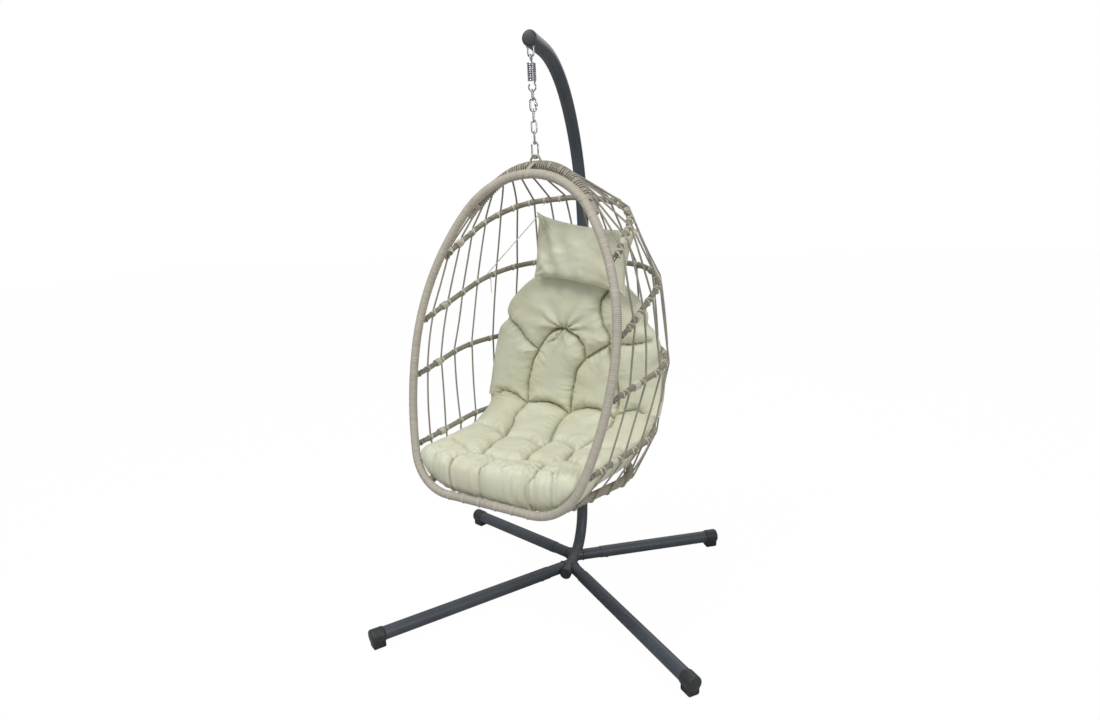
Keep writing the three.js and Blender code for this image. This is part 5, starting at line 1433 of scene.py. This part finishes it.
# Sewn creases of the cushion, read off the picture: depth share, half width of the dip, then points given as
# distance from the middle and distance along the cushion from its front edge, in millimetres
CREASES = [
    (0.62, 46, [(-262, 974), (-250, 964), (-225, 934), (-200, 889), (-155, 849)]),
    (0.66, 46, [(-155, 849), (-125, 889), (-95, 919), (-65, 932), (-30, 934)]),
    (0.24, 18, [(-150, 839), (-115, 874), (-65, 899)]),
    (0.66, 44, [(-32, 934), (20, 904), (40, 864), (40, 824)]),
    (0.62, 46, [(40, 824), (85, 854), (140, 889), (220, 898), (284, 915)]),
    (0.66, 50, [(40, 824), (5, 784), (-5, 749), (-15, 704), (-20, 654), (-20, 577)]),
    (0.66, 50, [(-155, 844), (-180, 804), (-195, 754), (-205, 709), (-207, 659), (-205, 589)]),
    (0.62, 46, [(-205, 589), (-245, 649), (-275, 664), (-300, 669), (-340, 604)]),
    (0.68, 48, [(-205, 589), (-165, 619), (-120, 629), (-75, 614), (-20, 577)]),
    (0.60, 44, [(150, 1090), (140, 1074), (115, 1044), (110, 999), (125, 954), (145, 915), (140, 889)]),
    (0.66, 48, [(-205, 589), (-220, 504), (-215, 464), (-190, 419), (-170, 359), (-140, 294)]),
    (0.66, 48, [(-18, 577), (-35, 534), (-25, 469), (0, 394), (35, 324), (32, 300)]),
    (0.66, 48, [(-18, 577), (5, 604), (50, 629), (95, 629), (150, 600), (175, 580)]),
    (0.60, 46, [(175, 580), (215, 640), (260, 660), (338, 610)]),
    (0.62, 48, [(175, 580), (180, 680), (172, 760), (150, 840), (140, 889)]),
    (0.64, 48, [(175, 580), (185, 500), (175, 420), (168, 350), (165, 284)]),
    (0.62, 44, [(-140, 294), (-210, 334), (-260, 349), (-300, 349), (-341, 330)]),
    (0.68, 46, [(-140, 294), (-100, 314), (-55, 312), (5, 286), (32, 290)]),
    (0.68, 46, [(32, 290), (60, 344), (110, 330), (165, 284)]),
    (0.62, 44, [(165, 284), (235, 330), (290, 345), (341, 330)]),
    (0.66, 46, [(-140, 294), (-145, 239), (-130, 189), (-110, 119)]),
    (0.56, 26, [(-110, 119), (-132, 104), (-150, 84), (-164, 45), (-160, 0)]),
    (0.42, 30, [(-335, 150), (-290, 172), (-240, 149), (-185, 124), (-145, 104)]),
    (0.66, 44, [(-110, 119), (-50, 110), (15, 112), (55, 139)]),
    (0.66, 44, [(32, 290), (40, 194), (55, 139)]),
    (0.60, 40, [(55, 139), (100, 146), (140, 134), (162, 154), (185, 179)]),
    (0.64, 44, [(185, 179), (172, 234), (165, 284)]),
    (0.56, 42, [(185, 179), (240, 165), (290, 172), (336, 150)]),
    (0.52, 24, [(-36, 0), (-42, 30), (-22, 79), (15, 112)]),
    (0.46, 24, [(146, 0), (168, 24), (164, 80), (140, 134)]),
    (0.26, 18, [(-240, 6), (-238, 30), (-222, 56)]),
    (0.12, 9, [(-88, 4), (-92, 24), (-84, 40)]),
    (0.20, 14, [(60, 0), (44, 26), (38, 52)]),
    (0.12, 9, [(104, 0), (98, 22), (100, 46)]),
    (0.22, 14, [(238, 0), (230, 30), (214, 66)]),
]
TUFT_DEPTH = 0.86
FRONT_GATHERS = [
    (-158, 32, 4.2), (-38, 36, 4.6), (75, 50, 3.4), (160, 44, 4.2), (250, 44, 3.4), (-250, 36, 2.8),
]

# Tufts with the pleats round them: place across and along, height, reach and number of folds
PLEATS = [
    (-32, 935, 11.0, 70, 9), (-155, 846, 2.6, 30, 8), (40, 824, 3.0, 34, 9), (-205, 589, 3.0, 34, 8),
    (-18, 577, 3.4, 36, 9), (175, 580, 3.0, 34, 8), (-140, 294, 3.4, 38, 9), (32, 290, 3.4, 38, 9),
    (165, 284, 3.4, 38, 9), (-110, 119, 3.6, 38, 10), (55, 139, 3.4, 34, 10), (185, 179, 3.4, 34, 9),
    (140, 889, 2.6, 30, 8),
]
TUFT_WIDTH = 26
CREASE_LINE = 4.5
WRINKLE_REACH = 34
WRINKLE_HEIGHT = 7.0
WRINKLE_SHIFT = 517.0
GATHER_GAIN = 2.3

PILLOW_PLACE = Vector((0.074, 0.1385, -0.314))
PILLOW_TURN = (radians(-6), radians(8.5), 0)
PILLOW_HALF = (0.188, 0.042, 0.103)
PILLOW_WAIST = 0.075
PILLOW_EAR = 0.010
PILLOW_LOW_PULL = 0.016
PILLOW_STEPS = (90, 60)
PILLOW_HOLLOW = 0.13
PILLOW_FOLD_HEIGHT = 0.0062
PILLOW_FOLD_REACH = 0.055
PILLOW_FOLD_START = 0.02
PILLOW_SWEEP_HEIGHT = 0.0068
PILLOW_HEM_HEIGHT = 0.0026

# Folds at the pillow's corners: side, end, how many all round, and where they start
PILLOW_FOLDS = [(-1, 1, 17, 0.4), (1, 1, 15, 1.7), (-1, -1, 15, 2.9), (1, -1, 17, 4.2)]

TIE_DIAMETER = 0.004
TIE_RIB_SHARE = 0.235
TIE_WRAP = 225
TIE_TAIL = 0.060
TIE_FLATNESS = 0.55


def spline(points, parts=20):
    """Centripetal curve through the points."""
    ends = [points[0] * 2 - points[1]] + points + [points[-1] * 2 - points[-2]]
    result = [points[0]]
    for i in range(1, len(points)):
        p0, p1, p2, p3 = ends[i - 1:i + 3]
        d0, d1, d2 = ((b - a).length ** 0.5 for a, b in ((p0, p1), (p1, p2), (p2, p3)))
        t1 = ((p1 - p0) / d0 - (p2 - p0) / (d0 + d1) + (p2 - p1) / d1) * d1
        t2 = ((p2 - p1) / d1 - (p3 - p1) / (d1 + d2) + (p3 - p2) / d2) * d1
        for k in range(1, parts + 1):
            t = k / parts
            result.append(
                p1 * (2 * t ** 3 - 3 * t ** 2 + 1) + t1 * (t ** 3 - 2 * t ** 2 + t)
                + p2 * (3 * t ** 2 - 2 * t ** 3) + t2 * (t ** 3 - t ** 2)
            )
    return result


def table_at(rows, places, soften=0.0):
    """Values of a table at the given places, eased over a short run."""
    keys = [row[0] for row in rows]
    values = [row[1] for row in rows]
    if not soften:
        return np.interp(places, keys, values)
    return sum(np.interp(places + shift * soften, keys, values) for shift in (-1, -0.5, 0, 0.5, 1)) / 5


cushion_line = spline([Vector((0, y, z)) for y, z in CUSHION_ROUTE])
cushion_lengths = np.array(lengths_along(cushion_line)) / MM
CUSHION_LENGTH = float(cushion_lengths[-1])


def middle_sheet(along):
    """Y and z of the cushion's middle sheet at lengths along it."""
    return [np.interp(along, cushion_lengths, [point[axis] for point in cushion_line]) for axis in (1, 2)]


def cushion_surface(share, along, height):
    """Places in the basket's frame at a share of the half width, along and above the middle sheet."""
    bow = CUSHION_BOW * np.clip(1 - along / CUSHION_BOW_END, 0, 1) * np.abs(share) ** 4
    at = along + bow
    y, z = middle_sheet(at)
    y_before, z_before = middle_sheet(at - SLOPE_STEP)
    y_after, z_after = middle_sheet(at + SLOPE_STEP)
    dy = y_after - y_before
    dz = z_after - z_before
    size = np.hypot(dy, dz)
    right = np.clip(share, 0, 1)
    lean_back = RIGHT_LEAN_BACK * (right > 0) * np.clip((along - LEAN_BACK_START) / LEAN_BACK_RUN, 0, 1)
    rise = table_at(CUSHION_SIDE_RISES, along, 30) * np.abs(share) ** 3 * (1 - lean_back)
    lift = (height + rise) * MM
    wing = table_at(RIGHT_EXTRA, along, 20) * right ** 2
    x = (share * table_at(CUSHION_HALF_WIDTHS, along, 10) + wing) * MM
    return np.stack([x, y - dz / size * lift, z + dy / size * lift], axis=-1)


def noise_over(across, along, *layers):
    """Sum of noises over a grid, each with its weight, two scales and seed."""
    places = list(zip(across.ravel().tolist(), along.ravel().tolist()))
    total = 0
    for weight, scale_across, scale_along, seed in layers:
        total = total + weight * np.array([
            noise.noise(Vector((x / scale_across, y / scale_along, seed))) for x, y in places
        ])
    return total.reshape(across.shape)


def dip(distance, width):
    """Round dip beside a line or point: 1 in it and 0 at its width."""
    return 1 - np.sqrt(1 - (1 - np.clip(distance / width, 0, 1)) ** 2)


def crease_field(across, along):
    """How full the quilting is at each point, how near a crease line it is, which also sets the painted
    shade in the creases, and its small wrinkles.
    """
    full = np.ones_like(across)
    line = np.zeros_like(across)
    nearest = np.full_like(across, 1e3)
    phase = np.zeros_like(across)
    for number, (depth, width, points) in enumerate(CREASES):
        distance = np.full_like(across, 1e3)
        place = np.zeros_like(across)
        run = 0.0
        for (x0, a0), (x1, a1) in zip(points, points[1:]):
            dx, da = x1 - x0, a1 - a0
            length = hypot(dx, da)
            share = np.clip(((across - x0) * dx + (along - a0) * da) / length ** 2, 0, 1)
            here = np.hypot(across - x0 - share * dx, along - a0 - share * da)
            closer = here < distance
            distance = np.where(closer, here, distance)
            place = np.where(closer, run + share * length, place)
            run += length
        full = np.minimum(full, 1 - depth * dip(distance, width))
        line = np.maximum(line, np.exp(-(distance / CREASE_LINE) ** 2) * max(0, depth * 1.8 - 0.25))
        closer = distance < nearest
        nearest = np.where(closer, distance, nearest)
        phase = np.where(closer, place + WRINKLE_SHIFT * number, phase)
    ripples = noise_over(phase, nearest, (1, 11, 55, 0.3), (0.6, 6, 40, 7.1))
    waves = ripples * np.clip(nearest / 7, 0, 1) * np.exp(-nearest / WRINKLE_REACH) * WRINKLE_HEIGHT
    gather = np.clip((130 - along) / 40, 0, 1) * np.clip((along + 30) / 50, 0, 1)
    fan = across + 0.25 * along * np.sign(across + 40)
    creased = noise_over(fan, along, (1, 8.5, 80, 3.3), (0.5, 4.2, 60, 5.1))
    for x, spread, height in FRONT_GATHERS:
        waves = waves + GATHER_GAIN * height * gather * np.exp(-((across - x) / spread) ** 2) * creased
    for x, a, height, reach, count in PLEATS:
        distance = np.hypot(across - x, along - a)
        full = np.minimum(full, 1 - TUFT_DEPTH * dip(distance, TUFT_WIDTH))
        line = np.maximum(line, np.exp(-(distance / (1.6 * CREASE_LINE)) ** 2))
        angle = np.arctan2(along - a, across - x)
        uneven = 1.6 * np.sin(angle * 2 + x) + 0.9 * np.sin(angle * 3 + a)
        fold = np.sin(angle * count + uneven) * np.exp(-distance / reach) * np.clip(distance / 14, 0, 1)
        waves = waves + height * fold
    return full, line, waves


def corners(grid):
    """The four corners of each cell of a grid, in turn."""
    return np.stack([grid[:-1, :-1], grid[:-1, 1:], grid[1:, 1:], grid[1:, :-1]], axis=2)


def two_sheets(top, low, lay_u, lay_v, crease_shade_top, crease_shade_low, name, material):
    """Closed cushion mesh from two grids of places that meet at their rims, each sheet with its own painted
    crease shade.
    """
    inside = (slice(1, -1), slice(1, -1))
    index_top = np.arange(lay_u.size).reshape(lay_u.shape)
    index_low = index_top.copy()
    index_low[inside] = lay_u.size + np.arange(index_low[inside].size).reshape(index_low[inside].shape)
    vertices = np.concatenate([top.reshape(-1, 3), low[inside].reshape(-1, 3)]).tolist()
    crease_shade = np.concatenate([crease_shade_top.ravel(), crease_shade_low[inside].ravel()]).tolist()
    faces = np.concatenate([corners(index_top), corners(index_low)[:, :, ::-1]]).reshape(-1, 4).tolist()
    lays = corners(np.stack([lay_u, lay_v], axis=-1))
    uvs = np.concatenate([lays, lays[:, :, ::-1]]).ravel().tolist()
    return make_piece(name, vertices, faces, uvs, material, basket_place, {"crease_shade": crease_shade})


def make_cushion():
    s = np.linspace(-1, 1, CUSHION_COLUMNS)
    share_line = 0.6 * s + 0.4 * np.sin(s * pi / 2)
    t = np.linspace(0, 1, CUSHION_ROWS)
    ends = 0.85 * t + 0.15 * (1 - np.cos(t * pi)) / 2
    share, along = np.meshgrid(share_line, ends * CUSHION_LENGTH)
    across = share * table_at(CUSHION_HALF_WIDTHS, along, 10)
    full, line, waves = crease_field(across, along)
    side = np.sqrt(np.clip(1 - np.abs(share) ** SIDE_POWER, 0, 1))
    end = 1 - dip(np.minimum(along, CUSHION_LENGTH - along), CUSHION_END_RUN)
    crown = side * end
    free = np.clip(crown * 2, 0, 1)
    plump = CUSHION_HALF_THICKNESS * (1 + PLUMP_UNEVEN * noise_over(across, along, (1, 70, 70, 2.0)))
    loose = noise_over(across, along, (1.1, 26, 26, 5.0), (0.5, 12, 12, 9.0))
    top = plump * TOP_FULLNESS * crown * full + (waves + loose) * free
    hang = HANG_SHARE - HANG_LOSS_IN_FRONT * np.clip((120 - along) / 60, 0, 1)
    low = (plump * (1 - hang + hang * full) + table_at(CUSHION_SAG, along)) * crown + waves * free
    share = share * (1 - SEAM_PULL * line * np.clip(1.15 - crown, 0, 1))
    forward = (waves + loose - FRONT_DIP * (1 - full)) * (1 - end) * (along < CUSHION_LENGTH / 2) * MM
    upper = cushion_surface(share, along, top)
    lower = cushion_surface(share, along, -low)
    upper[..., 1] -= forward
    lower[..., 1] -= forward
    # Nearness to a crease line goes on the sheets as painted shade, weaker on the underside.
    piece = two_sheets(
        upper, lower, across * MM, along * MM, line, line * 0.7, "quilted_cushion", CLOTH,
    )
    dress(piece, "basket", "cushion_fabric", "seat_cushion")
    make_piping(ends[PIPING_START:-2] * CUSHION_LENGTH, share_line[::-1][1:-1])


def make_piping(side_run, back):
    """A thin cord in the seam, up the right side, across the top and down the left side."""
    rim = []
    for share, at in (
        (np.ones_like(side_run), side_run),
        (back, np.full_like(back, CUSHION_LENGTH)),
        (-np.ones_like(side_run), side_run[::-1]),
    ):
        rim += [Vector(place) for place in cushion_surface(share, at, np.zeros_like(at)).tolist()]
    cord = Shape()
    cord.tube(resampled(rim, 0.006), PIPING_RADIUS, 8, UP)
    # A little painted shade on the piping, where it sits in the seam.
    cord.fill("crease_shade", 0.12)
    cord.dress("cushion_piping", CLOTH, "basket", "cushion_fabric")


def make_pillow():
    columns, rows = PILLOW_STEPS
    u, v = np.meshgrid(*(
        0.7 * line + 0.3 * np.sin(line * pi / 2)
        for line in (np.linspace(-1, 1, columns), np.linspace(-1, 1, rows))
    ))
    half_x, half_y, half_z = PILLOW_HALF
    corner = np.abs(u) ** 14 * np.abs(v) ** 14 * np.where(v > 0, 1.0, 0.2)
    waist = np.where(u > 0, PILLOW_WAIST, PILLOW_WAIST * 0.5)
    pull = PILLOW_LOW_PULL * np.clip(-u, 0, 1) * (1 - v) / 2
    x = u * (half_x * (1 - waist * (1 - v ** 2)) + PILLOW_EAR * corner) + pull
    z = v * (half_z * (1 - PILLOW_HOLLOW * (1 - u ** 2)) + PILLOW_EAR * corner)
    thin = np.sqrt(np.clip(1 - np.abs(u) ** 3.2, 0, 1)) * np.sqrt(np.clip(1 - np.abs(v) ** 2.6, 0, 1))
    thick = half_y * thin
    folds = np.zeros_like(u)
    for cx, cz, count, start in PILLOW_FOLDS:
        dx = x - cx * half_x
        dz = z - cz * half_z
        reach = np.hypot(dx, dz)
        angle = np.arctan2(dz, dx)
        fade = np.exp(-reach / PILLOW_FOLD_REACH) * np.clip(reach / PILLOW_FOLD_START, 0, 1)
        folds += np.sin(angle * count + start) * fade * PILLOW_FOLD_HEIGHT
    near_left = np.exp(-((x + 0.10) / 0.085) ** 2)
    sweep = np.sin((x + z * 0.55) / 0.013 + 1.2) * near_left * PILLOW_SWEEP_HEIGHT
    near_hem = np.exp(-(half_z - np.abs(z)) / 0.017)
    hem = np.sin(x / 0.0050 + 1.6 * np.sin(x / 0.021)) * near_hem * PILLOW_HEM_HEIGHT
    soft = hem + noise_over(x / MM, z / MM, (0.009, 55, 55, 3.0), (0.003, 22, 22, 8.0))
    rim = np.clip(thin * 2.2, 0, 1)
    front = thick * 1.06 + (folds + sweep + soft) * rim
    back = thick + (folds + soft) * rim
    # Painted shade in the valleys of the corner folds and the sweep, on the front sheet only.
    fold_valley_shade = np.clip(-(folds + sweep) / 0.004, 0, 1) * 0.22 * rim
    turn = Matrix.Translation(PILLOW_PLACE) @ Euler(PILLOW_TURN).to_matrix().to_4x4()

    def placed(height):
        grid = np.stack([x, -height, z], axis=-1).reshape(-1, 3)
        return np.array([tuple(turn @ Vector(place)) for place in grid.tolist()]).reshape(*x.shape, 3)

    piece = two_sheets(placed(front), placed(-back), x, z, fold_valley_shade, fold_valley_shade * 0, "head_pillow_cover", CLOTH)
    dress(piece, "basket", "cushion_fabric", "head_pillow")

    around = [(i, 0) for i in range(rows)] + [(rows - 1, k) for k in range(1, columns)]
    around += [(i, columns - 1) for i in range(rows - 2, -1, -1)]
    around += [(0, k) for k in range(columns - 2, 0, -1)]
    flat = placed(np.zeros_like(x))
    cord = Shape()
    cord.tube(resampled([Vector(flat[c].tolist()) for c in around], 0.004, 1, True), 0.0016, 8, UP, True)
    # A little painted shade on the seam cord round the pillow.
    cord.fill("crease_shade", 0.1)
    cord.dress("pillow_seam", CLOTH, "basket", "cushion_fabric")


def make_ties():
    route = tabbed_rib_route(RIBS["rib_upper"])
    turn = Euler(PILLOW_TURN).to_matrix()
    half_x, _, half_z = PILLOW_HALF
    radius = (RIB_TUBE + TIE_DIAMETER - CORD_DIAMETER) / 2
    for name, side, share in (("left", -1, 1 - TIE_RIB_SHARE), ("right", 1, TIE_RIB_SHARE)):
        circle = Crossing(route, route_length(route) * share, radius)
        corner = PILLOW_PLACE + turn @ Vector((side * (half_x + TIE_DIAMETER / 2), 0, half_z))
        arrive = circle.touch_from(corner)
        points = [corner] + circle.round(arrive, arrive + radians(TIE_WRAP))
        points += [points[-1] - UP * (TIE_TAIL * k / 4) for k in range(1, 5)]
        tape = Shape()
        path = resampled(smooth_route(points), 0.003)
        tape.tube(path, TIE_DIAMETER / 2, 10, UP, oval=lambda _: (1.0, TIE_FLATNESS))
        tape.dress(f"tie_tape_{name}", TAPE, "basket", "cotton_tie", f"pillow_tie_{name}")


# Stage and camera

def make_camera():
    forward = Vector((
        -sin(CAMERA_TURN) * cos(CAMERA_TILT), cos(CAMERA_TURN) * cos(CAMERA_TILT),
        -sin(CAMERA_TILT),
    ))
    right = Vector((cos(CAMERA_TURN), sin(CAMERA_TURN), 0))
    up = right.cross(forward)
    rolled_right = right * cos(CAMERA_ROLL) + up * sin(CAMERA_ROLL)
    rolled_up = -right * sin(CAMERA_ROLL) + up * cos(CAMERA_ROLL)
    data = bpy.data.cameras.new("camera")
    data.sensor_fit = "HORIZONTAL"
    data.sensor_width = SENSOR
    data.lens = FOCAL_PIXELS * SENSOR / PICTURE_WIDTH
    data.shift_x = (PICTURE_WIDTH / 2 - PRINCIPAL_X) / PICTURE_WIDTH
    data.shift_y = (PRINCIPAL_Y - PICTURE_HEIGHT / 2) / PICTURE_WIDTH
    data.clip_end = 60
    camera = bpy.data.objects.new("camera", data)
    axes = Matrix((rolled_right, rolled_up, -forward)).transposed()
    camera.matrix_world = Matrix.Translation(CAMERA_PLACE) @ axes.to_4x4()
    bpy.context.scene.collection.objects.link(camera)
    bpy.context.scene.camera = camera


def seen_by_camera(tree):
    """1 for rays that come straight from the camera."""
    return add_node(tree, "ShaderNodeLightPath").outputs["Is Camera Ray"]


FLOOR_GLOW = 1.022
SKY_LOW = 0.25
SKY_RISE = 0.46
FLOOR_HALF = 14
FLOOR_CELLS = 4
FLOOR_GLOW_SHARE = 0.96
LAMP_AIM = Vector((0, 0, 0.9))


def make_stage():
    ends = np.linspace(-FLOOR_HALF, FLOOR_HALF, FLOOR_CELLS + 1).tolist()
    vertices = [(x, y, 0) for y in ends for x in ends]
    faces = corners(np.arange(len(vertices)).reshape(len(ends), len(ends))).reshape(-1, 4).tolist()
    material, tree, shader = new_material("studio_floor", (0.5, 0.5, 0.5), 0.9)
    tint = ramp(tree, noise_at(tree, 3.0), (0.3, (0.49, 0.49, 0.49)), (0.7, (0.51, 0.51, 0.51)))
    tree.links.new(tint, shader.inputs["Base Color"])
    glow = add_node(tree, "ShaderNodeEmission")
    glow.inputs["Color"].default_value = (1, 1, 1, 1)
    glow.inputs["Strength"].default_value = FLOOR_GLOW
    blend = add_node(tree, "ShaderNodeMixShader")
    part = math_node(tree, "MULTIPLY", seen_by_camera(tree), FLOOR_GLOW_SHARE)
    tree.links.new(part, blend.inputs["Fac"])
    tree.links.new(shader.outputs["BSDF"], blend.inputs[1])
    tree.links.new(glow.outputs["Emission"], blend.inputs[2])
    output = tree.nodes["Material Output"]
    tree.links.new(blend.outputs["Shader"], output.inputs["Surface"])
    floor = make_piece("floor", vertices, faces, None, material)
    floor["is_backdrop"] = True


def make_lights():
    world = bpy.data.worlds.new("studio")
    bpy.context.scene.world = world
    world.use_nodes = True
    tree = world.node_tree
    background = tree.nodes["Background"]
    background.inputs["Color"].default_value = (1, 1, 1, 1)
    way = add_node(tree, "ShaderNodeTexCoord")
    parts = add_node(tree, "ShaderNodeSeparateXYZ")
    tree.links.new(way.outputs["Generated"], parts.inputs[0])
    rise = math_node(tree, "MULTIPLY", parts.outputs["Z"], SKY_RISE)
    strength = math_node(tree, "MAXIMUM", math_node(tree, "ADD", rise, SKY_LOW), seen_by_camera(tree))
    tree.links.new(strength, background.inputs["Strength"])
    for name, place, size, power in (
        ("key_lamp", (-1.2, -2.0, 3.9), 1.1, 72),
        ("fill_lamp", (2.6, -2.6, 2.3), 1.8, 48),
        ("rear_lamp", (0.6, 3.0, 3.2), 2.4, 24),
    ):
        data = bpy.data.lights.new(name, "AREA")
        data.shape = "DISK"
        data.size = size
        data.energy = power
        lamp = bpy.data.objects.new(name, data)
        way = LAMP_AIM - Vector(place)
        lamp.matrix_world = Matrix.Translation(place) @ way.to_track_quat("-Z", "Y").to_matrix().to_4x4()
        bpy.context.scene.collection.objects.link(lamp)


make_camera()
make_stand()
make_links()
make_quick_link()
make_carabiner()
make_spring()
make_hoop()
make_arch()
make_ring()
make_ribs()
make_base_rib()
make_cords()
make_cushion()
make_pillow()
make_ties()
make_stage()
make_lights()

bpy.context.scene.view_settings.view_transform = "Standard"
made_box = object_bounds()
({
    "cad": [list(cad_box[0]), list(cad_box[1])],
    "made": [list(made_box[0]), list(made_box[1])],
})
